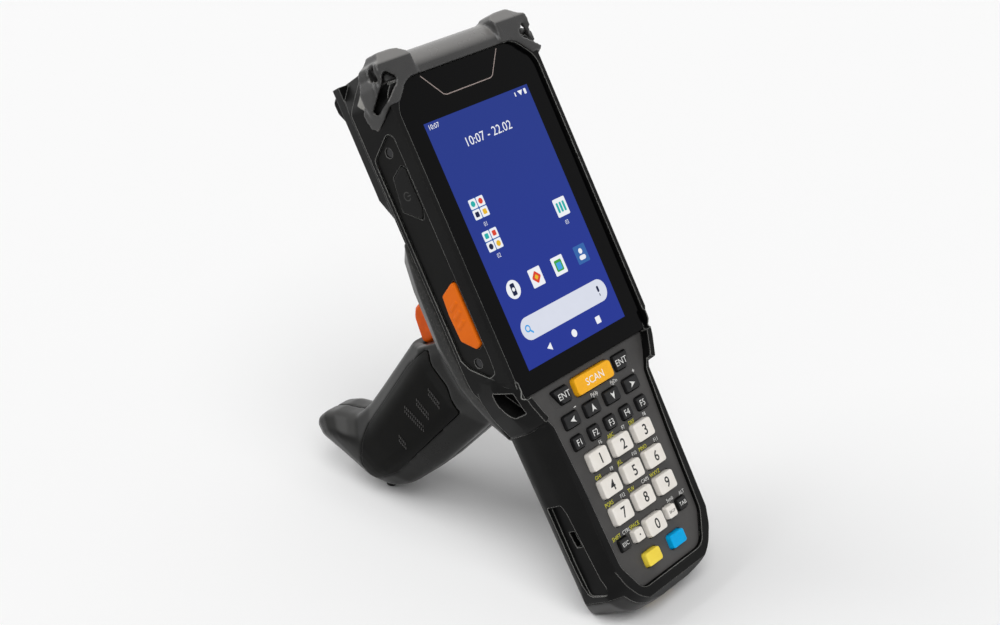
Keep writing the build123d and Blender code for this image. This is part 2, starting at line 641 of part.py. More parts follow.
# Front and back of each cross-section as (along the grip, forward of its axis), half width, nose.
GRIP_RINGS = [((30.0, 21.2), (30.0, -22.8), 17.0, 0.48), ((48.0, 19.8), (48.0, -21.8), 16.5, 0.48),
              ((66.0, 18.5), (66.0, -20.8), 16.3, 0.45), ((80.0, 17.6), (79.0, -19.3), 16.0, 0.45),
              ((90.5, 18.4), (87.0, -18.0), 15.6, 0.5), ((95.5, 22.2), (90.5, -17.0), 15.2, 0.5),
              ((100.5, 26.6), (93.0, -15.8), 14.6, 0.55), ((106.0, 29.6), (95.6, -14.4), 13.7, 0.6),
              ((111.6, 30.4), (98.2, -12.4), 12.0, 0.65), ((115.2, 29.4), (99.8, -10.4), 10.0, 0.7),
              ((116.4, 26.6), (100.8, -8.0), 7.4, 0.75)]


def grip_blank():
    root = [grip_ring((-19.0, PLATE_BACK), (-63.0, PLATE_BACK), 24.5, 0.62),
            grip_ring((-20.8, -43.0), (-62.6, -38.5), 21.0, 0.52),
            grip_ring((-22.6, -53.5), (-64.0, -46.0), 18.4)]
    rings = [grip_ring(on_grip(*front), on_grip(*back), half, nose)
             for front, back, half, nose in GRIP_RINGS]
    return loft(root + rings, ruled=True)


# ---------------------------------------------------------------- trigger
TRIGGER_PIVOT = (-15.5, -41.5)
TRIGGER_SWING = 8.0
TRIGGER_X = TRIGGER_W / 2
PIN_HALF = 12.0          # half length of the trigger's pin
ROOM_STEPS = 5           # the trigger's room is cut at this many steps of its swing


def trigger_side(grow=0.0):
    g = grow
    return [(-11.0 + g, -37.4 + g, 3.0), (-8.4 + g, -45.0), (-10.6 + g, -55.0, 12.0),
            (-12.6 + g, -63.0, 8.0), (-14.2 + g, -67.6 - g, 2.0), (-17.5, -69.9 - g, 2.5),
            (-27.5, -71.2 - g, 1.5), (-29.4 - g, -68.6, 1.5), (-27.4 - g, -58.0, 10.0),
            (-22.6 - g, -48.0, 8.0), (-20.0 - g, -37.4 + g, 3.0)]


def pivot_rod(radius, half_length):
    y, z = TRIGGER_PIVOT
    return Pos(0, y, z) * Rot(0, 90, 0) * Cylinder(radius, 2 * half_length)


def trigger():
    lever = side_prism(trigger_side(), -TRIGGER_X, TRIGGER_X)
    front = [e for e in lever.edges() if e.bounding_box().size.X < 0.01 and e.center().Y > -18.6
             and e.center().Z < -40]
    lever = chamfer(front, 1.3)
    return lever - pivot_rod(PIN_R + PIN_FIT, WIDE)


def trigger_room():
    """Space that the trigger needs over its whole swing."""
    y, z = TRIGGER_PIVOT
    still = side_prism(trigger_side(FIT), -TRIGGER_X - FIT, TRIGGER_X + FIT)
    steps = [TRIGGER_SWING * step / ROOM_STEPS for step in range(ROOM_STEPS + 1)]
    return joined(*[Pos(0, y, z) * Rot(-turn, 0, 0) * Pos(0, -y, -z) * still for turn in steps])


def cheek_relief():
    """The grip's front is set back beside the trigger, down to a lip under it."""
    return side_prism([(0, -30), (0, -73.4), (-26.6, -74.4, 1.5), (-28.4, -68.0, 4.0), (-28.4, -55.0, 8.0),
                       (-20.0, -43.0, 4.0), (-17.0, PLATE_BACK + 2)], -WIDE, WIDE)


PAD_T = 4.2              # the pads are let this deep into the grip's sides
PAD_OUT = [(24.0, 12.5, 3.0), (40.0, 14.0, 3.0), (80.0, 10.5, 6.0), (97.0, 1.5, 5.0), (99.5, -6.5, 4.0),
           (84.0, -11.5, 5.0), (30.0, -13.5, 4.0), (24.0, -4.0, 3.0)]


def pad_zone():
    points = [on_grip(s, t) for s, t, _ in PAD_OUT]
    corners = [(y, z, PAD_OUT[i][2]) for i, (y, z) in enumerate(points)]
    return extrude(Plane.YZ.offset(GRIP_W / 2 - PAD_T) * outline(corners), 12.0)


def grip_pads(blank):
    return both(blank & pad_zone())


SWITCH = (-41.5, -60.0, 6.0)      # y, z and size of the trigger switch
SPRING_COIL_R = 2.6
SPRING_WIRE = 0.5
SPRING_X = 8.0                    # the spring sits beside the trigger
SPRING_TURNS = 4


def switch_body():
    y, z, size = SWITCH
    s = size / 2
    return slab(-s, s, y - s, y + s, z - s - 1.0, z + s + 1.0)


def trigger_switch():
    y, z, size = SWITCH
    plunger = slab(-1.2, 1.2, y + size / 2, y + size / 2 + 3.2, z - 1.6, z + 1.6)
    return switch_body() + plunger


def trigger_pin():
    return pivot_rod(PIN_R, PIN_HALF)


def trigger_spring():
    """Torsion spring on the pin, drawn as its touching turns."""
    r, w = SPRING_COIL_R, SPRING_WIRE
    profile = [(r - w, 0.0)]
    for turn in range(SPRING_TURNS):
        low = 2 * w * turn
        profile += [(r - w, low + w), (r - 0.6 * w, low + 2 * w)]
    profile += [(r + 0.6 * w, 2 * w * SPRING_TURNS)]
    for turn in reversed(range(SPRING_TURNS)):
        low = 2 * w * turn
        profile += [(r + w, low + w), (r + 0.6 * w, low)]
    coil = revolve(Plane.XZ * make_face(Polyline(*profile, close=True)), Axis.Z)
    y, z = TRIGGER_PIVOT
    return Pos(SPRING_X, y, z) * Rot(0, 90, 0) * coil


def spring_room():
    y, z = TRIGGER_PIVOT
    length = 2 * SPRING_WIRE * SPRING_TURNS
    room = Cylinder(SPRING_COIL_R + SPRING_WIRE, length)
    return Pos(SPRING_X + length / 2, y, z) * Rot(0, 90, 0) * room


GRIP_SCREWS = [(24.0, -14.0), (62.0, 12.0), (100.0, 15.0)]
GRIP_SCREW_R = 1.4
GRIP_SCREW_HEAD = 2.7


def screw_at(s, t, radius, low, high):
    y, z = on_grip(s, t)
    return Pos((low + high) / 2, y, z) * Rot(0, 90, 0) * Cylinder(radius, high - low)


def grip_screws():
    screws = [screw_at(s, t, GRIP_SCREW_R, -7.0, 8.0) + screw_at(s, t, GRIP_SCREW_HEAD, 8.0, 10.0)
              for s, t in GRIP_SCREWS]
    return Compound(children=screws)


def grip_screw_cuts():
    cuts = [screw_at(s, t, GRIP_SCREW_R, -7.0, 8.0) + screw_at(s, t, GRIP_SCREW_HEAD, 8.0, WIDE)
            for s, t in GRIP_SCREWS]
    return joined(*cuts)


FOOT_AT = on_grip(103.4, -6.4)
FOOT_RIM = 0.5


def cheeks():
    """Bosses each side of the trigger that carry its pin down from the grip's root."""
    boss = side_prism([(-9.8, PLATE_BACK), (-9.8, -43.0, 4.0), (-13.0, -47.6, 4.0), (-24.0, -52.0, 3.0),
                       (-30.0, -50.0), (-30.0, PLATE_BACK)], TRIGGER_X + FIT, 12.5)
    return both(boss)


def grip_body(blank, foot):
    body = blank - cheek_relief()
    body = joined(body, *cheeks().solids())
    body = body - trigger_room() - both(pad_zone()) - pivot_rod(PIN_R, PIN_HALF) - switch_body()
    y, z, size = SWITCH
    body = body - slab(-3.5, 3.5, y + size / 2 - 0.5, -30, z - 3.5, z + 3.5)
    return body - spring_room() - grip_screw_cuts() - foot


# ---------------------------------------------------------------- assembly
LEAN = 61.4              # the display leans back by 90 degrees less this when the device stands


def stood_up(shape):
    return Rot(LEAN, 0, 0) * shape


def grip_foot(floor):
    """Round stud under the heel, square to the surface that the device stands on."""
    y, z = FOOT_AT
    a = radians(LEAN)
    up = (0, sin(a), cos(a))
    height = sin(a) * y + cos(a) * z - floor
    across = cos(a) * y - sin(a) * z
    stud = Pos(0, across, floor + (height + 4.0) / 2) * Cylinder(FOOT_R, height + 4.0)
    stud = chamfer(stud.faces().sort_by(Axis.Z)[0].edges(), FOOT_RIM)
    return Rot(-LEAN, 0, 0) * stud


def build_all():
    blank = body_blank()
    bumper = top_bumper(blank)
    tail = end_bumper(blank)
    floor = stood_up(tail).bounding_box().min.Z
    foot = grip_foot(floor)
    grip = grip_blank()
    grip_core = grip_body(grip, foot)
    keys = {name: key_solid(*size) for name, size in key_table().items()}
    scan_key = scan_side_key()
    parts = {
        "front_housing": front_housing(blank, bumper),
        "rear_housing": rear_housing(blank) - scan_window_cut() - scan_engine_cut() - battery_bay(),
        "cover_glass": cover_glass(),
        "display_module": display_module(),
        "main_board": main_board(),
        "keypad_panel": keypad_panel(),
        "keypad_mat": keypad_mat(),
        "top_bumper": bumper,
        "scan_window": scan_window(),
        "scan_engine": scan_engine(),
        "light_pipes": light_pipes(blank),
        "side_panels": side_panels(),
        "housing_screws": both(housing_screws()),
        "end_bumper": tail,
        "dock_contacts": dock_contacts(),
        "battery_pack": battery_pack(blank),
        "battery_latch": battery_latch(),
        "grip_mount_plate": grip_mount_plate(),
        "grip_shell_left": grip_core & slab(-WIDE, 0, -WIDE * 4, WIDE, -WIDE * 4, WIDE),
        "grip_shell_right": grip_core & slab(0, WIDE, -WIDE * 4, WIDE, -WIDE * 4, WIDE),
        "grip_pads": grip_pads(grip),
        "grip_screws": grip_screws(),
        "grip_foot": foot,
        "trigger": trigger(),
        "trigger_pin": trigger_pin(),
        "trigger_spring": trigger_spring(),
        "trigger_switch": trigger_switch(),
        "power_key": power_key(),
        "scan_key_left": mirror(scan_key, about=Plane.YZ),
        "scan_key_right": scan_key,
        **keys,
    }
    return {name: stood_up(shape) for name, shape in parts.items()}


def main():
    os.makedirs("parts", exist_ok=True)
    parts = build_all()
    boxes = [shape.bounding_box() for shape in parts.values()]
    floor = min(box.min.Z for box in boxes)
    middle = (min(box.min.Y for box in boxes) + max(box.max.Y for box in boxes)) / 2
    for name, shape in parts.items():
        export_step(Pos(0, -middle, -floor) * shape, f"parts/{name}.step")
    print("origin in device frame: y", middle, "floor", floor)


if __name__ == "__main__":
    main()
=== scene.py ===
"""Looks of the portable barcode data terminal: finishes, keycaps, markings, lit screen and studio."""
from math import cos, pi, radians, sin

import bpy
import numpy as np
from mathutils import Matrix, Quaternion, Vector
from mathutils.bvhtree import BVHTree


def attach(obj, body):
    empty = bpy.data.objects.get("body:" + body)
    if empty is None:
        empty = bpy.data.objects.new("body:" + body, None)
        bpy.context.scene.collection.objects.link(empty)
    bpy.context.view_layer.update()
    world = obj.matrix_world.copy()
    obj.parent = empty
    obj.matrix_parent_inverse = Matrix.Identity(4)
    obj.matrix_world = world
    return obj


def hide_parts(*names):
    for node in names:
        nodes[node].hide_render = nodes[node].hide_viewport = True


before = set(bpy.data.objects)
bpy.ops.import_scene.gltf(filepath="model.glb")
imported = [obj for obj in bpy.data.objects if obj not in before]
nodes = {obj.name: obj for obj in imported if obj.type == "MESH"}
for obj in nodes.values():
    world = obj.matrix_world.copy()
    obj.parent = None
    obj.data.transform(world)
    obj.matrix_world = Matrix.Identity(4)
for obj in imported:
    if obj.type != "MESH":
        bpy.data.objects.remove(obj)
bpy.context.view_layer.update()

# ---------------------------------------------------------------- the device's own frame
# Millimetres: x to the right, y up the display, z out of the glass, from the middle of the lit screen.
MM = 0.001
LEAN = radians(61.4)
RIGHT = np.array([1.0, 0.0, 0.0])
UP = np.array([0.0, cos(LEAN), sin(LEAN)])
OUT = np.array([0.0, -sin(LEAN), cos(LEAN)])
ORIGIN = np.array([0.0, -0.022823, 0.133764])
HAIR = 0.02              # thickness of printed marks
SCREEN_W = 55.04
SCREEN_H = 91.73
PANEL_Z = -1.2           # face of the keypad panel


def on_device(points):
    """Points of the device's own frame, in millimetres, as metres in the row frame."""
    p = np.asarray(points, float) * MM
    return ORIGIN + p[..., 0:1] * RIGHT + p[..., 1:2] * UP + p[..., 2:3] * OUT


def node_points(name):
    """Corners of a CAD node's mesh, (n, 3), in device millimetres."""
    mesh = nodes[name].data
    flat = np.empty(len(mesh.vertices) * 3, np.float32)
    mesh.vertices.foreach_get("co", flat)
    p = (flat.reshape(-1, 3).astype(float) - ORIGIN) / MM
    return np.column_stack([p @ RIGHT, p @ UP, p @ OUT])


def skin_of(*names):
    """Search tree over the triangles of some CAD nodes, in device millimetres."""
    points, faces, base = [], [], 0
    for name in names:
        points.append(node_points(name))
        faces += [[base + i for i in polygon.vertices] for polygon in nodes[name].data.polygons]
        base += len(points[-1])
    return BVHTree.FromPolygons(np.vstack(points).tolist(), faces)


# ---------------------------------------------------------------- shader arithmetic
class Value:
    """A node's output that takes part in Python expressions; each operator adds one Math node."""

    def __init__(self, finish, socket):
        self.finish = finish
        self.socket = socket

    def math(self, operation, *others):
        """One Math node whose inputs are this value and the others, in order."""
        ends = {0: self, **dict(enumerate(others, 1))}
        return self.finish.node("ShaderNodeMath", {"operation": operation}, ends)

    def __add__(self, other):
        return self.math("ADD", other)

    __radd__ = __add__

    def __mul__(self, other):
        return self.math("MULTIPLY", other)

    __rmul__ = __mul__

    def __sub__(self, other):
        return self.math("SUBTRACT", other)

    def __rsub__(self, other):
        return self.math("MULTIPLY", -1.0).math("ADD", other)

    def __gt__(self, other):
        return self.math("GREATER_THAN", other)

    def __lt__(self, other):
        return self.math("LESS_THAN", other)

    def __abs__(self):
        return self.math("ABSOLUTE")

    def smooth(self, low, high):
        """0 below low, 1 above high, eased between them."""
        settings = {"interpolation_type": "SMOOTHSTEP"}
        ends = {"Value": self, "From Min": low, "From Max": high}
        return self.finish.node("ShaderNodeMapRange", settings, ends)


class Finish:
    """One procedural material: constants sit on the shader's own sockets, the rest is built by node()."""

    def __init__(self, name, colour=None, **constants):
        self.material = bpy.data.materials.new(name)
        self.material.use_nodes = True
        self.tree = self.material.node_tree
        self.shader = self.tree.nodes["Principled BSDF"]
        self.rounding = None
        if colour:
            self.shader.inputs["Base Color"].default_value = (*colour, 1.0)
        for socket, value in constants.items():
            self.shader.inputs[socket.replace("_", " ")].default_value = value

    def node(self, kind, settings=None, sockets=None, out=0):
        """Adds a node, sets its settings, then gives its sockets their values or links."""
        made = self.tree.nodes.new(kind)
        for setting, value in (settings or {}).items():
            setattr(made, setting, value)
        for socket, value in (sockets or {}).items():
            if isinstance(value, Value):
                self.tree.links.new(value.socket, made.inputs[socket])
            else:
                made.inputs[socket].default_value = value
        return Value(self, made.outputs[out])

    def feed(self, socket, value):
        """Leads a value into one of the shader's sockets."""
        self.tree.links.new(value.socket, self.shader.inputs[socket])
        return self

    def place(self):
        """Where a point of the surface lies in the piece's own frame."""
        return self.node("ShaderNodeTexCoord", out="Object")

    def noise(self, scale, detail=2.0, roughness=0.5):
        """Cloudy pattern between 0 and 1, scale in waves per metre."""
        ends = {"Vector": self.place(), "Scale": scale, "Detail": detail, "Roughness": roughness}
        return self.node("ShaderNodeTexNoise", None, ends)

    def cell_walls(self, scale):
        """Distance to the nearest wall between irregular cells."""
        ends = {"Vector": self.place(), "Scale": scale}
        return self.node("ShaderNodeTexVoronoi", {"feature": "DISTANCE_TO_EDGE"}, ends, out="Distance")

    def blend(self, share, low, high):
        """A colour between low and high."""
        made = self.node("ShaderNodeMix", {"data_type": "RGBA"}, {"Factor": share}, out=2)
        mix = made.socket.node
        for index, colour in ((6, low), (7, high)):
            if isinstance(colour, Value):
                self.tree.links.new(colour.socket, mix.inputs[index])
            else:
                mix.inputs[index].default_value = (*colour, 1.0)
        return made

    def rounded_edges(self, radius):
        """Softened normal at the edges; returns how far it strays from the face's own normal."""
        self.rounding = self.node("ShaderNodeBevel", {"samples": 4}, {"Radius": radius})
        own = self.node("ShaderNodeNewGeometry", out="Normal")
        ends = {0: self.rounding, 1: own}
        return 1 - self.node("ShaderNodeVectorMath", {"operation": "DOT_PRODUCT"}, ends, out="Value")

    def upward(self, low, high):
        """0 on faces that look sideways or down, 1 on those that look up; it stays put as the part turns."""
        ends = {0: self.node("ShaderNodeTexCoord", out="Normal"), 1: (0.0, 0.0, 1.0)}
        rise = self.node("ShaderNodeVectorMath", {"operation": "DOT_PRODUCT"}, ends, out="Value")
        return rise.smooth(low, high)

    def bump(self, height, strength, distance):
        """Grain in the normal, on top of the rounded edges where the finish has them."""
        ends = {"Height": height, "Strength": strength, "Distance": distance}
        if self.rounding:
            ends["Normal"] = self.rounding
        return self.feed("Normal", self.node("ShaderNodeBump", None, ends))

    def along(self, direction):
        """Distance in metres from the screen's middle along a direction, at every point of the surface."""
        ends = {0: self.place(), 1: tuple(float(v) for v in direction)}
        reach = self.node("ShaderNodeVectorMath", {"operation": "DOT_PRODUCT"}, ends, out="Value")
        return reach - float(ORIGIN @ direction)


# ---------------------------------------------------------------- finishes
EDGE = 0.0006            # radius of a moulded edge, in metres
RUBBER_EDGE = EDGE * 1.3
# paler edge colours: partly wear, partly a painted highlight along the edges
WORN_AND_HIGHLIT_PLASTIC = (0.30, 0.30, 0.29)
WORN_AND_HIGHLIT_RUBBER = (0.12, 0.118, 0.112)


def moulded(name, colour, dust, rough, grain=0.25, grain_scale=2600.0, level=0.09, edge_wear_and_highlight=WORN_AND_HIGHLIT_PLASTIC,
            dust_and_top_highlight=None):
    """Spark-textured moulded plastic: fine grain, cloudy gloss, handling dust, edges paler from wear and a
    painted highlight, and upward faces paler from dust and a painted highlight.
    """
    f = Finish(name, Specular_IOR_Level=level)
    rubbed_and_highlit_edges = f.rounded_edges(EDGE)
    cloud = f.noise(38.0, 4.0, 0.6)
    fine = f.noise(grain_scale, 2.0, 0.6)
    plain = f.blend(cloud.smooth(0.35, 0.75), colour, dust)
    # upward faces paler: dust together with a painted highlight on the tops
    if dust_and_top_highlight:
        plain = f.blend(f.upward(0.45, 0.95), plain, dust_and_top_highlight)
    # paler along the edges: wear together with a painted edge highlight
    f.feed("Base Color", f.blend(rubbed_and_highlit_edges.smooth(0.03, 0.3) * cloud.smooth(0.1, 0.6), plain, edge_wear_and_highlight))
    f.feed("Roughness", cloud * 0.12 + (rough - 0.06) + fine * 0.06)
    f.bump(fine, grain, 0.00004)
    return f.material


def rubber(name, colour, dust, rough=0.5, level=0.25, edge_wear_and_highlight=WORN_AND_HIGHLIT_RUBBER, dust_and_top_highlight=None):
    """Soft-touch rubber: dull, with broad clouds, a very fine skin, edges greyer from wear and a painted
    highlight, and a top paler from dust and a painted highlight.
    """
    f = Finish(name, Specular_IOR_Level=level)
    rubbed_and_highlit_edges = f.rounded_edges(RUBBER_EDGE)
    cloud = f.noise(55.0, 3.0, 0.6)
    skin = f.noise(4200.0, 1.0, 0.5)
    plain = f.blend(cloud.smooth(0.3, 0.8), colour, dust)
    # upward faces paler: dust together with a painted highlight on the tops
    if dust_and_top_highlight:
        plain = f.blend(f.upward(0.6, 0.92), plain, dust_and_top_highlight)
    # greyer along the edges: wear together with a painted edge highlight
    f.feed("Base Color", f.blend(rubbed_and_highlit_edges.smooth(0.02, 0.3) * 0.8, plain, edge_wear_and_highlight))
    f.feed("Roughness", cloud * 0.1 + (rough - 0.05))
    f.bump(skin, 0.2, 0.00003)
    return f.material


def speckled_plate():
    """Coarse-sparked plate between housing and grip: light specks on dark plastic."""
    f = Finish("speckled_plate", Specular_IOR_Level=0.2)
    f.rounded_edges(EDGE)
    specks = f.noise(1300.0, 3.0, 0.75)
    cloud = f.noise(60.0, 3.0)
    f.feed("Base Color", f.blend(specks.smooth(0.52, 0.72), (0.005, 0.005, 0.0045), (0.050, 0.048, 0.043)))
    f.feed("Roughness", cloud * 0.15 + 0.28)
    f.bump(specks, 0.6, 0.0001)
    return f.material


BLACK_GLASS = (0.0016, 0.0016, 0.0018)
SCREEN_LOW, SCREEN_HIGH = (0.017, 0.036, 0.290), (0.019, 0.040, 0.250)


def lit_glass():
    """Black cover glass with the lit rectangle of the display under it."""
    f = Finish("lit_glass", BLACK_GLASS, Specular_IOR_Level=0.06, Emission_Strength=1.0)
    across = abs(f.along(RIGHT))
    up = f.along(UP)
    inside = (across < SCREEN_W / 2 * MM) * (abs(up) < SCREEN_H / 2 * MM) * (f.along(OUT) > -0.3 * MM)
    shade = f.blend(up.smooth(-SCREEN_H / 2 * MM, SCREEN_H / 2 * MM), SCREEN_LOW, SCREEN_HIGH)
    f.feed("Emission Color", f.blend(inside, (0.0, 0.0, 0.0), shade))
    smear = f.noise(24.0, 3.0)
    f.feed("Roughness", smear * 0.05 + 0.03)
    return f.material


def keycap(name, colour, low, rough=0.38, level=0.3):
    """Hard keycap plastic: satin top, very faint mottling."""
    f = Finish(name, Specular_IOR_Level=level)
    cloud = f.noise(260.0, 3.0)
    fine = f.noise(3400.0, 1.0)
    f.feed("Base Color", f.blend(cloud.smooth(0.3, 0.7), low, colour))
    f.feed("Roughness", cloud * 0.1 + (rough - 0.05))
    f.bump(fine, 0.1, 0.00002)
    return f.material


def metal(name, colour, rough):
    """Plated or brushed metal with fine scratches in its gloss."""
    f = Finish(name, Metallic=1.0)
    scratch = f.noise(900.0, 4.0, 0.7)
    f.feed("Base Color", f.blend(scratch.smooth(0.3, 0.8), colour, tuple(c * 0.75 for c in colour)))
    f.feed("Roughness", scratch * 0.2 + (rough - 0.1))
    f.bump(scratch, 0.15, 0.00002)
    return f.material


def glow(name, colour):
    """A lit mark of the display."""
    f = Finish(name, (0.002, 0.002, 0.002), Roughness=0.06, Specular_IOR_Level=0.06, Emission_Strength=1.0)
    ripple = f.noise(300.0, 1.0)
    dim = tuple(c * 0.96 for c in colour)
    f.feed("Emission Color", f.blend(ripple, dim, colour))
    return f.material


def ink(name, colour):
    """Printed ink, slightly uneven."""
    f = Finish(name, Specular_IOR_Level=0.2)
    patch = f.noise(1500.0, 2.0)
    f.feed("Base Color", f.blend(patch.smooth(0.3, 0.7), tuple(c * 0.86 for c in colour), colour))
    f.feed("Roughness", patch * 0.15 + 0.45)
    return f.material


def circuit_board():
    """Green solder mask over copper lines."""
    f = Finish("circuit_board", Specular_IOR_Level=0.5)
    lines = f.cell_walls(900.0)
    f.feed("Base Color", f.blend(lines.smooth(0.02, 0.08), (0.03, 0.16, 0.06), (0.008, 0.07, 0.025)))
    f.feed("Roughness", lines * 0.2 + 0.3)
    f.bump(lines.smooth(0.02, 0.08), 0.2, 0.00005)
    return f.material


def milky_pipe():
    """Frosted light pipe, off."""
    f = Finish("milky_pipe", Specular_IOR_Level=0.4)
    frost = f.noise(700.0, 3.0)
    f.feed("Base Color", f.blend(frost.smooth(0.3, 0.7), (0.20, 0.195, 0.18), (0.27, 0.265, 0.245)))
    f.feed("Roughness", frost * 0.2 + 0.25)
    return f.material


def scan_pane():
    """Dark red-tinted scan window."""
    f = Finish("scan_pane", Specular_IOR_Level=0.5)
    tint = f.noise(30.0, 2.0)
    f.feed("Base Color", f.blend(tint, (0.012, 0.002, 0.003), (0.03, 0.004, 0.006)))
    f.feed("Roughness", tint * 0.04 + 0.03)
    return f.material


# the housing's pale edge colour is mostly a painted highlight along its rims, with some wear
shell_black = moulded("shell_black", (0.0030, 0.0030, 0.0031), (0.0055, 0.0055, 0.0053), 0.34,
                      edge_wear_and_highlight=(0.42, 0.42, 0.40))
back_black = moulded("back_black", (0.0035, 0.0035, 0.0035), (0.006, 0.006, 0.0058), 0.36)
side_black = moulded("side_black", (0.0035, 0.0035, 0.0033), (0.006, 0.006, 0.0056), 0.40)
# the bumper's pale edges and much paler upward faces are painted highlights, with some wear and dust
bumper_grey = rubber("bumper_grey", (0.014, 0.0136, 0.0133), (0.022, 0.0213, 0.0206), 0.27, 0.5,
                     (0.26, 0.25, 0.24), (0.165, 0.160, 0.154))
end_grey = rubber("end_grey", (0.008, 0.0076, 0.0075), (0.013, 0.0125, 0.012), 0.34, 0.3)
# the grip's paler upward faces are a painted highlight on its tops, with some dust
grip_black = moulded("grip_black", (0.0026, 0.0026, 0.0022), (0.0045, 0.0045, 0.004), 0.26, level=0.13,
                     edge_wear_and_highlight=(0.02, 0.02, 0.018), dust_and_top_highlight=(0.045, 0.0445, 0.043))
pad_black = rubber("pad_black", (0.002, 0.002, 0.0018), (0.0035, 0.0035, 0.003), 0.42, 0.05,
                   (0.03, 0.03, 0.028))
panel_grey = moulded("panel_grey", (0.046, 0.0445, 0.0435), (0.070, 0.067, 0.065), 0.45, 0.7, 2200.0, 0.25,
                     (0.085, 0.083, 0.080))
dark_key = keycap("dark_key", (0.015, 0.015, 0.0155), (0.010, 0.010, 0.0105), 0.42, 0.2)
white_key = keycap("white_key", (0.84, 0.80, 0.75), (0.80, 0.76, 0.70), 0.36)
amber_key = keycap("amber_key", (0.95, 0.46, 0.010), (0.92, 0.43, 0.008))
yellow_key = keycap("yellow_key", (0.93, 0.72, 0.075), (0.90, 0.68, 0.06))
blue_key = keycap("blue_key", (0.0005, 0.40, 0.80), (0.0005, 0.37, 0.76), level=0.12)
orange_key = rubber("orange_key", (0.68, 0.13, 0.004), (0.62, 0.11, 0.003), 0.5, 0.1, (0.90, 0.30, 0.03))
orange_trigger = keycap("orange_trigger", (0.72, 0.10, 0.002), (0.62, 0.08, 0.002), 0.36, 0.12)
black_key = rubber("black_key", (0.003, 0.003, 0.003), (0.005, 0.005, 0.005), 0.4, 0.12)
stop_rubber = rubber("stop_rubber", (0.006, 0.006, 0.006), (0.010, 0.010, 0.0095), 0.6)
mat_rubber = rubber("mat_rubber", (0.05, 0.05, 0.048), (0.07, 0.07, 0.068), 0.6)
black_steel = metal("black_steel", (0.05, 0.05, 0.052), 0.35)
bright_steel = metal("bright_steel", (0.55, 0.55, 0.54), 0.28)
spring_steel = metal("spring_steel", (0.42, 0.42, 0.43), 0.3)
contact_gold = metal("contact_gold", (0.85, 0.60, 0.22), 0.22)
engine_grey = metal("engine_grey", (0.10, 0.10, 0.105), 0.45)
glass_black = lit_glass()
pipe_white = milky_pipe()
pane_red = scan_pane()
board_green = circuit_board()
plate_speckled = speckled_plate()
display_metal = metal("display_metal", (0.35, 0.35, 0.36), 0.4)
cell_black = moulded("cell_black", (0.0035, 0.0035, 0.0036), (0.006, 0.006, 0.0058), 0.36)
switch_black = moulded("switch_black", (0.008, 0.008, 0.008), (0.014, 0.014, 0.014), 0.4)

WHITE_KEYS = [f"key_{number}" for number in range(10)] + ["key_point", "key_backspace"]
DARK_KEYS = [f"key_f{number}" for number in range(1, 6)]
DARK_KEYS += [f"key_{name}" for name in ("left", "up", "down", "right", "enter_left", "enter_right")]
DARK_KEYS += ["key_escape", "key_tab"]
key_finish = {"key_scan": amber_key, "key_yellow": yellow_key, "key_blue": blue_key,
              **{name: white_key for name in WHITE_KEYS}, **{name: dark_key for name in DARK_KEYS}}

node_finish = {
    "front_housing": shell_black, "rear_housing": back_black, "cover_glass": glass_black,
    "display_module": display_metal, "main_board": board_green, "keypad_panel": panel_grey,
    "keypad_mat": mat_rubber, "top_bumper": bumper_grey, "scan_window": pane_red,
    "scan_engine": engine_grey, "light_pipes": pipe_white, "side_panels": side_black,
    "housing_screws": black_steel, "end_bumper": end_grey, "dock_contacts": contact_gold,
    "battery_pack": cell_black, "battery_latch": black_key, "grip_mount_plate": plate_speckled,
    "grip_shell_left": grip_black, "grip_shell_right": grip_black, "grip_pads": pad_black,
    "grip_screws": black_steel, "grip_foot": stop_rubber, "trigger": orange_trigger,
    "trigger_pin": bright_steel, "trigger_spring": spring_steel, "trigger_switch": switch_black,
    "power_key": black_key, "scan_key_left": orange_key, "scan_key_right": orange_key, **key_finish,
}
for node_name, node in nodes.items():
    for slot in node.material_slots:
        slot.material = node_finish[node_name]

# ---------------------------------------------------------------- smooth shading of the moulded forms
CREASE = radians(32)     # edges sharper than this stay crisp
WELD = 1e-6


def crease_group():
    """Node group: every face smooth, and every edge whose faces meet at more than CREASE sharp."""
    group = bpy.data.node_groups.new("creased_smoothing", "GeometryNodeTree")
    group.interface.new_socket("Geometry", in_out="INPUT", socket_type="NodeSocketGeometry")
    group.interface.new_socket("Geometry", in_out="OUTPUT", socket_type="NodeSocketGeometry")
    new, link = group.nodes.new, group.links.new
    way_in, way_out = new("NodeGroupInput"), new("NodeGroupOutput")
    angle, sharper = new("GeometryNodeInputMeshEdgeAngle"), new("ShaderNodeMath")
    faces, edges = new("GeometryNodeSetShadeSmooth"), new("GeometryNodeSetShadeSmooth")
    sharper.operation = "GREATER_THAN"
    sharper.inputs[1].default_value = CREASE
    faces.domain, edges.domain = "FACE", "EDGE"
    faces.inputs["Shade Smooth"].default_value = True
    edges.inputs["Shade Smooth"].default_value = False
    link(way_in.outputs[0], faces.inputs[0])
    link(faces.outputs[0], edges.inputs[0])
    link(angle.outputs["Unsigned Angle"], sharper.inputs[0])
    link(sharper.outputs[0], edges.inputs["Selection"])
    link(edges.outputs[0], way_out.inputs[0])
    return group


creased = crease_group()


def smooth(piece):
    """Joins loose triangles, creases the sharp edges and lets large flat faces keep their own normal."""
    piece.modifiers.new("weld", "WELD").merge_threshold = WELD
    piece.modifiers.new("crease", "NODES").node_group = creased
    even = piece.modifiers.new("even", "WEIGHTED_NORMAL")
    even.keep_sharp = True


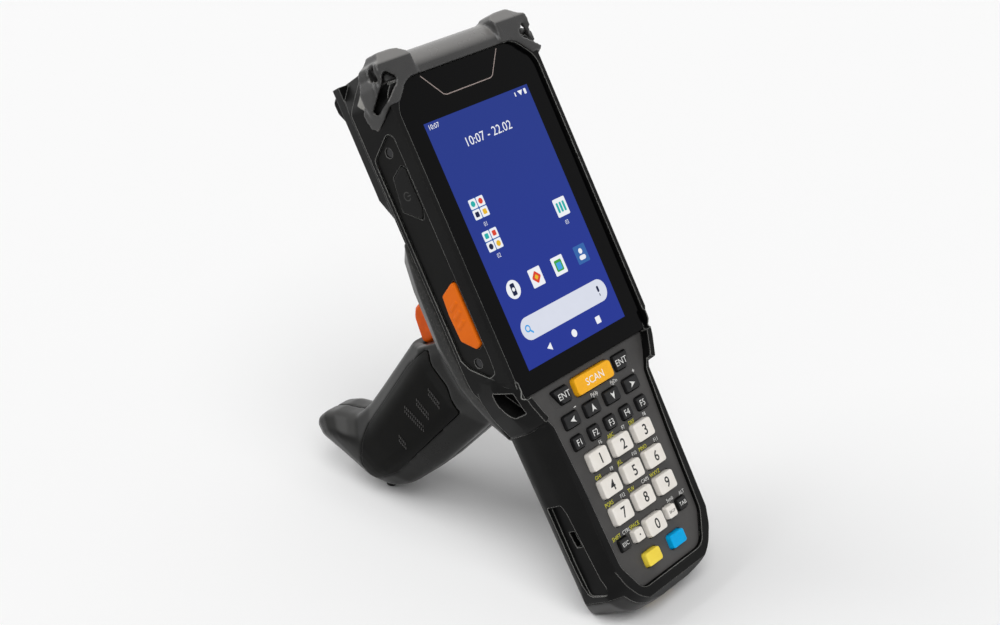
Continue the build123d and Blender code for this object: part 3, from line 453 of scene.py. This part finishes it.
def soften(piece, voxel, rounds):
    """Rounds every edge of a moulding: an even skin of small squares, evened out `rounds` times."""
    piece.modifiers.new("weld", "WELD").merge_threshold = WELD
    skin = piece.modifiers.new("skin", "REMESH")
    skin.mode, skin.voxel_size, skin.use_smooth_shade = "VOXEL", voxel, True
    evened = piece.modifiers.new("evened", "SMOOTH")
    evened.factor, evened.iterations = 0.5, rounds


# name: size of the skin's squares in metres, and how often they are evened out
SOFT = {"top_bumper": (0.0005, 8), "grip_shell_left": (0.0006, 14), "grip_shell_right": (0.0006, 14),
        "grip_mount_plate": (0.0006, 6), "end_bumper": (0.0005, 8), "trigger": (0.0004, 8),
        "scan_key_left": (0.0002, 2), "scan_key_right": (0.0002, 2), "power_key": (0.0002, 4),
        "battery_pack": (0.0006, 6)}
for name, node in nodes.items():
    if name in SOFT:
        soften(node, *SOFT[name])
    else:
        smooth(node)


# ---------------------------------------------------------------- meshes
def turned_out(points, faces):
    """Faces in the order that gives a closed solid a positive volume."""
    fans = np.array([(face[0], b, c) for face in faces for b, c in zip(face[1:-1], face[2:])])
    a, b, c = points[fans[:, 0]], points[fans[:, 1]], points[fans[:, 2]]
    if (np.cross(a, b) * c).sum() < 0:
        return [face[::-1] for face in faces]
    return faces


def new_piece(name, points, faces, finish, body, crease=False):
    """A mesh object from row-frame points and faces, riding on a body."""
    mesh = bpy.data.meshes.new(name)
    mesh.from_pydata(points.tolist(), [], turned_out(points - points.mean(0), faces))
    mesh.update()
    mesh.materials.append(finish)
    piece = bpy.data.objects.new(name, mesh)
    bpy.context.scene.collection.objects.link(piece)
    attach(piece, body)
    if crease:
        smooth(piece)
    return piece


def ring_walls(rings, count):
    """Quads between neighbouring rings of `count` points: point i of ring k joins i and i+1 of k and k+1."""
    k, i = np.meshgrid(np.arange(rings - 1), np.arange(count), indexing="ij")
    a = k * count + i
    b = k * count + (i + 1) % count
    return np.stack([a, b, b + count, a + count], -1).reshape(-1, 4).tolist()


def stack(rings):
    """Closed solid from a stack of rings (k, n, 3), first and last closed by a face."""
    rings = np.asarray(rings, float)
    levels, count = rings.shape[:2]
    faces = ring_walls(levels, count)
    faces.append(list(range(count))[::-1])
    faces.append(list(range((levels - 1) * count, levels * count)))
    return rings.reshape(-1, 3), faces


def lift(outline, low, high):
    """Prism over a flat outline (n, 2): the same ring at two heights."""
    outline = np.asarray(outline, float)
    return stack([np.column_stack([outline, np.full(len(outline), z)]) for z in (low, high)])


def turned(xy, angle):
    """Flat points turned about the origin by an angle in degrees."""
    a = radians(angle)
    return xy @ np.array([[cos(a), sin(a)], [-sin(a), cos(a)]])


def rounded(w, h, r, centre=(0.0, 0.0), steps=5, turn=0.0):
    """Rounded rectangle: each corner's arc of radius r about a point r in from both sides."""
    angle = np.concatenate([np.linspace(q * pi / 2, (q + 1) * pi / 2, steps) for q in range(4)])
    corner = np.repeat([[1, 1], [-1, 1], [-1, -1], [1, -1]], steps, axis=0)
    xy = corner * [w / 2 - r, h / 2 - r] + r * np.column_stack([np.cos(angle), np.sin(angle)])
    return turned(xy, turn) + centre


DISC_STEPS = 28


def disc(r, centre=(0.0, 0.0)):
    """Circle: r times cosine and sine of equal steps."""
    a = np.arange(DISC_STEPS) * 2 * pi / DISC_STEPS
    return r * np.column_stack([np.cos(a), np.sin(a)]) + centre


def arc(r, start, end, centre=(0.0, 0.0), count=20):
    """Points at radius r from angle start to angle end, in degrees."""
    a = np.radians(np.linspace(start, end, count))
    return r * np.column_stack([np.cos(a), np.sin(a)]) + centre


def band(points, width, low, high, closed=False):
    """Strip of even width along a flat path: each point moves by half the width along its mitred normal."""
    p = np.asarray(points, float)
    if closed:
        before, after = np.roll(p, 1, 0), np.roll(p, -1, 0)
    else:
        before, after = np.vstack([2 * p[0] - p[1], p[:-1]]), np.vstack([p[1:], 2 * p[-1] - p[-2]])
    a, b = p - before, after - p
    a /= np.linalg.norm(a, axis=1)[:, None]
    b /= np.linalg.norm(b, axis=1)[:, None]
    normal = np.column_stack([-(a + b)[:, 1], (a + b)[:, 0]])
    normal /= (normal * np.column_stack([-a[:, 1], a[:, 0]])).sum(1)[:, None]
    left, right = p + normal * width / 2, p - normal * width / 2
    if not closed:
        return lift(np.vstack([right, left[::-1]]), low, high)
    count = len(p)
    rings = [np.column_stack([side, np.full(count, z)])
             for side, z in ((left, low), (right, low), (right, high), (left, high))]
    walls = np.asarray(ring_walls(5, count))
    walls[walls >= 4 * count] -= 4 * count
    return np.vstack(rings), walls.tolist()


def merged(parts):
    """Several (points, faces) as one."""
    points, faces, base = [], [], 0
    for p, f in parts:
        points.append(p)
        faces += [[base + i for i in face] for face in turned_out(p - p.mean(0), f)]
        base += len(p)
    return np.vstack(points), faces


def marks(name, parts, finish, body, crease=False):
    """One piece from solids given in device millimetres."""
    points, faces = merged(parts)
    return new_piece(name, on_device(points), faces, finish, body, crease)


def side_faced(parts, x):
    """Solids drawn flat in (y, z) and raised in their third coordinate, standing out of a side wall at x."""
    way = 1.0 if x > 0 else -1.0
    return [(np.column_stack([x + way * p[:, 2], p[:, 0], p[:, 1]]), f) for p, f in parts]


LETTER_DEEP = 0.5        # a text's own units of half thickness, scaled to HAIR later


def lettering(string, size, centre, height, narrow=0.86, bold=0.0):
    """Text as a thin solid in device millimetres, its box's middle on the centre, standing on `height`."""
    curve = bpy.data.curves.new("lettering", "FONT")
    curve.body = string
    curve.extrude = LETTER_DEEP
    curve.offset = bold
    curve.resolution_u = 3
    holder = bpy.data.objects.new("lettering", curve)
    bpy.context.scene.collection.objects.link(holder)
    seen = holder.evaluated_get(bpy.context.evaluated_depsgraph_get())
    mesh = bpy.data.meshes.new_from_object(seen)
    points = np.empty(len(mesh.vertices) * 3)
    mesh.vertices.foreach_get("co", points)
    points = points.reshape(-1, 3)
    faces = [list(polygon.vertices) for polygon in mesh.polygons]
    bpy.data.objects.remove(holder)
    bpy.data.curves.remove(curve)
    bpy.data.meshes.remove(mesh)
    flat = points[:, :2]
    flat = flat - (flat.min(0) + flat.max(0)) / 2
    flat = flat * size * [narrow, 1.0] + centre
    z = height + HAIR * (points[:, 2] / LETTER_DEEP + 1) / 2
    return np.column_stack([flat, z]), faces


# ---------------------------------------------------------------- keycaps
# A cap's walls rise from its flange with a slight draft and end in a rounded top edge.
FLANGE_TOP = -2.6        # a key's flange lies under the panel from here down
FLANGE_OUT = 0.7         # and stands out this far
CAP_DRAFT = 0.22         # the cap's walls lean in by this much
CAP_EDGE = 0.42          # radius of the cap's top edge
CAP_LAND = 0.2           # least flat left inside that edge
CAP_CORE = 0.1           # radius that closes the top
CORNER_STEPS = 7
SLACK = 0.05             # points this near the flange still belong to it
CORNER_RADIUS = {"key_scan": 1.6, "key_yellow": 1.2, "key_blue": 1.2, "key_point": 1.0, "key_backspace": 1.0,
                 "key_escape": 0.65, "key_tab": 0.65}


def cap_rings(corners, radius, foot, top):
    """Rings of a keycap over a convex outline whose corners are arcs: the arcs keep their centres, and
    each ring only changes their radius, so that it is the outline moved in or out by an even distance."""
    p = np.asarray(corners, float)
    d = np.roll(p, -1, 0) - p
    d /= np.linalg.norm(d, axis=1)[:, None]
    after = np.column_stack([d[:, 1], -d[:, 0]])
    before = np.roll(after, 1, 0)
    share = 1 + (before * after).sum(1)
    centres = p - radius * (before + after) / share[:, None]
    first = np.arctan2(before[:, 1], before[:, 0])
    sweep = (np.arctan2(after[:, 1], after[:, 0]) - first) % (2 * pi)
    a = first[:, None] + sweep[:, None] * np.linspace(0, 1, CORNER_STEPS)
    ways = np.stack([np.cos(a), np.sin(a)], -1).reshape(-1, 2)
    centres = np.repeat(centres, CORNER_STEPS, 0)
    edge = min(CAP_EDGE, radius - CAP_DRAFT - CAP_LAND)
    bend = np.radians([0, 30, 60, 90])
    levels = [(radius + FLANGE_OUT, foot), (radius + FLANGE_OUT, FLANGE_TOP), (radius, FLANGE_TOP)]
    levels += [(radius - CAP_DRAFT - edge * (1 - cos(b)), top - edge * (1 - sin(b))) for b in bend]
    levels.append((CAP_CORE, top))
    return [np.column_stack([centres + r * ways, np.full(len(ways), z)]) for r, z in levels]


def cap_box(name):
    """Lowest and highest corner of a key's cap, the part of the node above its flange."""
    points = node_points(name)
    cap = points[points[:, 2] > FLANGE_TOP + SLACK]
    return cap.min(0), cap.max(0)


ENTER_SLANT = 3.4        # the outer end of an enter key leans in by this much towards the bottom
WHITE_CORNER, DARK_CORNER = 1.3, 0.85
key_face = {}            # name: middle x, middle y, top height
for name, finish in key_finish.items():
    (x0, y0, _), (x1, y1, top) = cap_box(name)
    key_face[name] = ((x0 + x1) / 2, (y0 + y1) / 2, top)
    foot = node_points(name)[:, 2].min()
    corners = [(x0, y0), (x1, y0), (x1, y1), (x0, y1)]
    if name == "key_enter_left":
        corners[0] = (x0 + ENTER_SLANT, y0)
    if name == "key_enter_right":
        corners[1] = (x1 - ENTER_SLANT, y0)
    radius = CORNER_RADIUS.get(name, WHITE_CORNER if finish is white_key else DARK_CORNER)
    piece = marks("cap_" + name[4:], [stack(cap_rings(corners, radius, foot, top))], finish, name, True)
    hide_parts(name)

# the panel's web beside the slanted end of each enter key
SIDES = ((-1, "left"), (1, "right"))
WEB_DEEP = 1.0
WEB_OVER = 0.35          # it reaches this far over the hole's edge
WEB_GAP = 0.1            # and is narrower than the slant by this much
for side, word in SIDES:
    low, high = cap_box(f"key_enter_{word}")
    outer = side * (max(abs(low[0]), abs(high[0])) + WEB_OVER)
    bottom = low[1] - WEB_OVER
    web = np.array([(outer, high[1]), (outer, bottom), (outer - side * (ENTER_SLANT - WEB_GAP), bottom)])
    marks(f"keypad_web_{word}", [lift(web, PANEL_Z - WEB_DEEP, PANEL_Z)], panel_grey, "terminal")

# ---------------------------------------------------------------- key markings
dark_ink = ink("dark_ink", (0.03, 0.03, 0.032))
bright_ink = ink("bright_ink", (0.95, 0.95, 0.93))
white_ink = ink("white_ink", (0.78, 0.78, 0.76))
yellow_ink = ink("yellow_ink", (0.66, 0.62, 0.03))
grey_ink = ink("grey_ink", (0.045, 0.045, 0.044))

NUMERAL, FUNCTION_MARK = 5.5, 3.3
ASIDE = 0.3              # numerals sit this far right of their key's middle, and F1 to F5 as far left of it
for number in range(10):
    x, y, top = key_face[f"key_{number}"]
    numeral = lettering(str(number), NUMERAL, (x + ASIDE, y), top, narrow=0.95, bold=0.012)
    marks(f"numeral_{number}", [numeral], dark_ink, f"key_{number}")

for number in range(1, 6):
    x, y, top = key_face[f"key_f{number}"]
    legend = lettering(f"F{number}", FUNCTION_MARK, (x - ASIDE, y), top, narrow=0.95)
    marks(f"legend_f{number}", [legend], white_ink, f"key_f{number}")

# key, word, its size, how far it sits right of the key's middle, ink
WORD_KEYS = [("key_enter_left", "ENT", 3.3, 0.8, white_ink), ("key_enter_right", "ENT", 3.3, -0.9, white_ink),
             ("key_scan", "SCAN", 3.8, 0.0, bright_ink), ("key_escape", "ESC", 2.1, 0.0, white_ink),
             ("key_tab", "TAB", 2.1, 0.0, white_ink), ("key_backspace", "BKSP", 1.5, 0.0, dark_ink)]
for name, word, size, aside, colour in WORD_KEYS:
    x, y, top = key_face[name]
    legend = lettering(word, size, (x + aside, y), top, narrow=1.04)
    marks("legend_" + name[4:], [legend], colour, name)

x, y, top = key_face["key_point"]
marks("legend_point", [lift(disc(0.34, (x, y)), top, top + HAIR)], dark_ink, "key_point")

ARROW = np.array([[0.0, -0.6], [1.2, -1.35], [0.0, 1.5], [-1.2, -1.35]])      # points up the display
for name, turn in (("up", 0), ("left", 90), ("down", 180), ("right", -90)):
    x, y, top = key_face[f"key_{name}"]
    marks(f"arrow_{name}", [lift(turned(ARROW, turn) + (x, y), top, top + HAIR)], white_ink, f"key_{name}")


def panel_words(rows, size, colour, name):
    """Words printed on the panel, each given with its middle x and y."""
    words = [lettering(word, size, (x, y), PANEL_Z, narrow=0.92) for word, x, y in rows]
    marks(name, words, colour, "terminal")


panel_words([("ABC", -2.3, -80.8), ("DEF", 10.3, -80.8), ("GHI", -16.1, -91.1), ("JKL", -3.4, -91.1),
             ("MNO", 10.4, -91.1), ("PQRS", -16.2, -101.5), ("TUV", -3.4, -101.5), ("WXYZ", 11.0, -101.5),
             ("SHIFT", -19.4, -113.0), ("SPACE", -8.9, -113.0)], 2.1, yellow_ink, "letter_row_yellow")
panel_words([("F6", -8.2, -80.8), ("F7", 5.3, -80.8), ("F8", 18.0, -80.8), ("F9", -8.2, -91.1),
             ("F10", 5.3, -91.1), ("F11", 18.3, -91.1), ("F12", -8.4, -101.5), ("CAPS", 5.0, -101.5),
             ("CTRL", -13.7, -113.0), ("Symb", 12.9, -113.0), ("ALT", 20.0, -113.1),
             ("PgUp", -1.6, -65.0), ("PgDn", 10.0, -64.8)], 2.0, white_ink, "letter_row_white")
LONG, THIN, STROKE_END = 1.3, 0.3, 0.1
MINUS_AT, PLUS_AT = (-13.0, -65.2), (21.6, -65.0)
marks("plus_minus", [lift(rounded(LONG, THIN, STROKE_END, MINUS_AT), PANEL_Z, PANEL_Z + HAIR),
                     lift(rounded(LONG, THIN, STROKE_END, PLUS_AT), PANEL_Z, PANEL_Z + HAIR),
                     lift(rounded(THIN, LONG, STROKE_END, PLUS_AT), PANEL_Z, PANEL_Z + 1.2 * HAIR)],
      white_ink, "terminal")

# ---------------------------------------------------------------- lit screen
white_glow = glow("white_glow", (0.86, 0.88, 0.92))
pale_glow = glow("pale_glow", (0.70, 0.73, 0.83))
blue_glow = glow("blue_glow", (0.035, 0.13, 0.40))
sky_glow = glow("sky_glow", (0.06, 0.36, 0.78))
teal_glow = glow("teal_glow", (0.02, 0.42, 0.40))
red_glow = glow("red_glow", (0.70, 0.06, 0.03))
amber_glow = glow("amber_glow", (0.80, 0.48, 0.03))
green_glow = glow("green_glow", (0.05, 0.36, 0.06))
dark_glow = glow("dark_glow", (0.010, 0.016, 0.06))
layer = [HAIR * step for step in range(4)]        # heights of the marks' levels above the glass


def screen_marks(name, outlines, finish, level=0):
    """Lit marks: level 0 lies on the glass, each further level on the one before."""
    marks(name, [lift(outline, layer[level], layer[level + 1]) for outline in outlines], finish, "terminal")


marks("clock", [lettering("10:07", 2.5, (-23.2, 44.1), 0.0, narrow=1.0)], white_glow, "terminal")
marks("big_clock", [lettering("10:07 - 22.02", 4.7, (0.0, 34.8), 0.0, narrow=1.0)], white_glow, "terminal")
screen_marks("status_marks", [
    rounded(1.2, 2.0, 0.2, (25.3, 43.8), 3), np.array([[21.4, 44.7], [22.7, 42.8], [24.0, 44.7]]),
    rounded(0.5, 1.6, 0.2, (19.9, 43.8), 3)], white_glow)

# widths, heights and corner radii of the screen's tiles
FOLDER, FOLDER_TILE = (7.6, 7.6, 0.5), (3.5, 3.5, 0.4)
SINGLE_TILE, SINGLE_BAR = (6.6, 6.8, 0.5), (1.1, 3.8, 0.4)
DOCK_TILE = (6.4, 6.8, 0.4)

FOLDER_SPOTS = [(-18.9, 12.4), (-18.9, 0.4)]
QUARTER = 1.95           # from a folder's middle to the middle of each quarter
QUARTER_GLOWS = [dark_glow, teal_glow, amber_glow, red_glow]
for row, spot in enumerate(FOLDER_SPOTS):
    quarters = [(spot[0] + sx * QUARTER, spot[1] + sy * QUARTER) for sx in (-1, 1) for sy in (-1, 1)]
    screen_marks(f"folder_{row}", [rounded(*FOLDER, spot)], blue_glow)
    screen_marks(f"folder_{row}_tiles", [rounded(*FOLDER_TILE, quarter) for quarter in quarters],
                 white_glow, 1)
    for place, (quarter, colour) in enumerate(zip(quarters, QUARTER_GLOWS)):
        shape = disc(1.05, quarter) if (place + row) % 2 else rounded(1.9, 1.9, 0.4, quarter)
        screen_marks(f"folder_{row}_{place}", [shape], colour, 2)

SINGLE_AT = (19.1, 0.4)
screen_marks("tile_single", [rounded(*SINGLE_TILE, SINGLE_AT)], white_glow)
screen_marks("tile_single_bars", [rounded(*SINGLE_BAR, (SINGLE_AT[0] + aside, SINGLE_AT[1]))
                                  for aside in (-1.7, 0, 1.7)], teal_glow, 1)
for word, spot in (("01", (-19.0, 6.4)), ("02", (-19.0, -5.4)), ("03", (18.9, -5.4))):
    marks(f"tile_number_{word}", [lettering(word, 2.3, spot, 0.0)], pale_glow, "terminal")

DOCK_Y = -18.1
ROUND_AT, DIAMOND_AT = (-19.1, DOCK_Y - 0.2), (-6.4, DOCK_Y)
PAGE_AT, PERSON_AT = (6.3, DOCK_Y), (19.25, DOCK_Y)
screen_marks("dock_round", [disc(3.4, ROUND_AT)], white_glow)
screen_marks("dock_round_mark", [rounded(2.2, 4.4, 0.4, ROUND_AT)], dark_glow, 1)
screen_marks("dock_round_middle", [disc(0.7, ROUND_AT)], white_glow, 2)
screen_marks("dock_tiles", [rounded(*DOCK_TILE, spot) for spot in (DIAMOND_AT, PAGE_AT)], white_glow)
screen_marks("dock_blue", [rounded(*DOCK_TILE, PERSON_AT)], blue_glow)
screen_marks("dock_person", [disc(1.0, (PERSON_AT[0], DOCK_Y + 1.1)),
                             rounded(3.4, 1.7, 0.8, (PERSON_AT[0], DOCK_Y - 1.3))], white_glow, 1)
screen_marks("dock_diamond", [turned(rounded(3.4, 3.4, 0.5), 45) + DIAMOND_AT], red_glow, 1)
screen_marks("dock_diamond_middle", [turned(rounded(1.5, 1.5, 0.3), 45) + DIAMOND_AT], amber_glow, 2)
screen_marks("dock_page", [rounded(3.8, 4.2, 0.5, PAGE_AT)], green_glow, 1)
screen_marks("dock_page_middle", [rounded(2.4, 2.6, 0.3, (PAGE_AT[0], DOCK_Y - 0.2))], sky_glow, 2)

PILL_Y = -32.9
RING_AT = (-20.2, PILL_Y + 0.2)
VOICE_X = 19.9
screen_marks("search_pill", [rounded(47.8, 8.3, 4.1, (0.4, PILL_Y), 12)], pale_glow)
screen_marks("search_ring", [disc(1.35, RING_AT), rounded(0.7, 2.2, 0.3, (-18.9, PILL_Y - 1.2), 3, 45)],
             sky_glow, 1)
screen_marks("search_ring_middle", [disc(0.8, RING_AT)], pale_glow, 2)
screen_marks("search_voice", [rounded(1.1, 2.3, 0.5, (VOICE_X, PILL_Y + 0.7)),
                              rounded(0.4, 1.0, 0.15, (VOICE_X, PILL_Y - 1.5), 3)], dark_glow, 1)

NAVIGATION_Y = -42.1
BACK_ARROW = np.array([[-15.3, 0.0], [-12.8, 1.4], [-12.8, -1.4]]) + (0.0, NAVIGATION_Y)
screen_marks("navigation", [BACK_ARROW, disc(1.4, (0.0, NAVIGATION_Y)),
                            rounded(2.6, 2.6, 0.2, (13.9, NAVIGATION_Y), 3)], white_glow)

trim_grey = ink("trim_grey", (0.33, 0.27, 0.25))
TRIM_PATH = [(-20.0, 61.6), (-13.0, 53.2), (-11.6, 52.6), (11.6, 52.6), (13.0, 53.2), (20.0, 61.6)]
marks("badge_trim", [band(TRIM_PATH, 0.35, 0.0, HAIR)], trim_grey, "terminal")

# ---------------------------------------------------------------- marks and ribs on the side walls
POWER_MARK = (25.6, -9.6)
POWER_STROKE = 0.34
power_ring = band(arc(1.5, 125, 415, POWER_MARK, 24), POWER_STROKE, -HAIR, HAIR)
power_bar = lift(rounded(POWER_STROKE, 1.7, 0.12, (POWER_MARK[0], POWER_MARK[1] + 1.0)), -HAIR, HAIR)
power_x = node_points("power_key")[:, 0].min()
marks("power_mark", side_faced([power_ring, power_bar], power_x), grey_ink, "power_key")

# small ribs on the grip pads: each row runs in (y, z) from its first pair to its last, with their number
RIB_ROWS = [((-45.0, -66.5), (-51.0, -64.0), 8), ((-49.0, -84.0), (-58.0, -78.5), 11),
            ((-47.5, -75.6), (-54.0, -72.6), 8), ((-59.5, -94.5), (-63.0, -93.0), 5)]
RIB_WAY = np.array([0.0, 0.857, 0.515])
RIB_PAIR = 1.0           # the two ribs of a pair lie this far each side of the row
RIB = rounded(0.34, 1.3, 0.16)
RIB_PROUD, RIB_ROOT = 0.16, 0.3
FAR_OUT = 60.0           # clear of the part on either side
pad_skin = skin_of("grip_pads")


def rib(spot, side):
    """A small bar lying in the pad's tangent plane, where a line from the side meets the pad."""
    hit, normal, _, _ = pad_skin.ray_cast(Vector((side * FAR_OUT, *spot)), Vector((-side, 0.0, 0.0)))
    if hit is None:
        return None
    n = np.array(normal)
    long = RIB_WAY - n * (n @ RIB_WAY)
    long /= np.linalg.norm(long)
    flat = np.array(hit) + RIB[:, :1] * np.cross(long, n) + RIB[:, 1:] * long
    return stack([flat - RIB_ROOT * n, flat + RIB_PROUD * n])


rib_spots = [spot + step * RIB_PAIR * RIB_WAY[1:] for first, last, count in RIB_ROWS
             for spot in np.linspace(first, last, count) for step in (-1, 1)]
for side, word in SIDES:
    bars = [bar for bar in (rib(spot, side) for spot in rib_spots) if bar]
    marks(f"grip_ribs_{word}", bars, end_grey, "terminal")

# thin floor of each strap slot: a sheet square to the slot's axis, its long way nearest to up the display
SLOT_AT, SLOT_AXIS = np.array([37.5, -53.5, -4.9]), np.array([0.936672, -0.167641, -0.307476])
SLOT_FLOOR = (4.15, 4.5)    # depths of the sheet's two faces
along_slot = np.array([0.0, 1.0, 0.0]) - SLOT_AXIS * SLOT_AXIS[1]
along_slot /= np.linalg.norm(along_slot)
sheet = rounded(7.6, 11.6, 1.0)
sheet = SLOT_AT + sheet[:, :1] * np.cross(SLOT_AXIS, along_slot) + sheet[:, 1:] * along_slot
for side, word in SIDES:
    mirror = np.array([side, 1.0, 1.0])
    slot_floor = stack([(sheet - deep * SLOT_AXIS) * mirror for deep in SLOT_FLOOR])
    marks(f"strap_slot_floor_{word}", [slot_floor], shell_black, "terminal")

# dark lobed mark on each housing screw, painted shade standing for its recess: its radius swings six times
# between lobe and hollow; the grey ring around it is a painted highlight
LOBE = np.linspace(0, 2 * pi, 48, endpoint=False)
LOBED = (0.78 + 0.2 * np.cos(6 * LOBE))[:, None] * np.column_stack([np.cos(LOBE), np.sin(LOBE)])
SCREW_SPOTS = ((41.5, -10.0), (-36.6, -10.6))
screw_points = node_points("housing_screws")
for side, word in SIDES:
    head_x = screw_points[:, 0].min() if side < 0 else screw_points[:, 0].max()
    for place, spot in enumerate(SCREW_SPOTS):
        # painted shade of the recess, and a painted highlight ring around it
        recess_shade = lift(LOBED + spot, -HAIR, HAIR)
        highlight_ring = band(disc(1.3, spot), 0.22, -HAIR, HAIR, True)
        marks(f"screw_recess_shade_{word}_{place}", side_faced([recess_shade], head_x), dark_ink, "terminal")
        marks(f"screw_rim_highlight_{word}_{place}", side_faced([highlight_ring], head_x), grey_ink, "terminal")

# ---------------------------------------------------------------- studio
CAMERA_AT = (-0.43276, -0.38678, 0.36311)
CAMERA_AIM = (-0.01641, -0.02265, 0.10542)
CAMERA_ROLL = -2.04      # degrees
LENS, SENSOR = 62.18, 36.0
NEAREST = 0.01


def aim(holder, at, target, roll=0.0):
    """Points an object's -Z from a place at a target, then rolls it about that line."""
    look = Vector(target) - Vector(at)
    holder.location = at
    holder.rotation_mode = "QUATERNION"
    holder.rotation_quaternion = look.to_track_quat("-Z", "Y") @ Quaternion((0, 0, 1), radians(roll))


camera_data = bpy.data.cameras.new("camera")
camera_data.lens = LENS
camera_data.sensor_width = SENSOR
camera_data.clip_start = NEAREST
camera = bpy.data.objects.new("camera", camera_data)
bpy.context.scene.collection.objects.link(camera)
aim(camera, CAMERA_AT, CAMERA_AIM, CAMERA_ROLL)
bpy.context.scene.camera = camera


def lamp(name, strength, angle, toward):
    """A distant lamp that shines from the direction `toward`, as soft as its angle in degrees is wide."""
    data = bpy.data.lights.new(name, "SUN")
    data.energy = strength
    data.angle = radians(angle)
    holder = bpy.data.objects.new(name, data)
    bpy.context.scene.collection.objects.link(holder)
    aim(holder, toward, (0.0, 0.0, 0.0))


LAMP_SOFTNESS = 40.0
lamp("key_lamp", 1.7, LAMP_SOFTNESS, (-0.45, -0.55, 0.9))
lamp("back_lamp", 1.1, LAMP_SOFTNESS, (-0.5, 0.75, 0.9))

# the studio itself: white to the camera and in reflections, dimmer as a light on matt surfaces
AMBIENT = 0.35
world = bpy.data.worlds.new("studio")
bpy.context.scene.world = world
world.use_nodes = True
sky = world.node_tree
background = sky.nodes["Background"]
background.inputs["Color"].default_value = (1.0, 1.0, 1.0, 1.0)
ray = sky.nodes.new("ShaderNodeLightPath")
seen = ray.outputs["Is Camera Ray"]
for other in ("Is Glossy Ray", "Is Transmission Ray"):
    either = sky.nodes.new("ShaderNodeMath")
    either.operation = "MAXIMUM"
    sky.links.new(seen, either.inputs[0])
    sky.links.new(ray.outputs[other], either.inputs[1])
    seen = either.outputs[0]
level = sky.nodes.new("ShaderNodeMapRange")
level.inputs["To Min"].default_value = AMBIENT
level.inputs["To Max"].default_value = 1.0
sky.links.new(seen, level.inputs["Value"])
sky.links.new(level.outputs[0], background.inputs["Strength"])

floor_white = Finish("floor_white", Roughness=0.9, Specular_IOR_Level=0.0)
floor_cloud = floor_white.noise(1.5, 2.0)
floor_white.feed("Base Color", floor_white.blend(floor_cloud, (0.93, 0.93, 0.93), (0.94, 0.94, 0.94)))
FLOOR_REACH = 12.0
FLOOR_CORNERS = FLOOR_REACH * np.array([[-1, -1, 0], [1, -1, 0], [1, 1, 0], [-1, 1, 0]])
floor_mesh = bpy.data.meshes.new("floor")
floor_mesh.from_pydata(FLOOR_CORNERS.tolist(), [], [(0, 1, 2, 3)])
floor_mesh.materials.append(floor_white.material)
floor = bpy.data.objects.new("floor", floor_mesh)
bpy.context.scene.collection.objects.link(floor)
bpy.context.scene.view_settings.view_transform = "Standard"
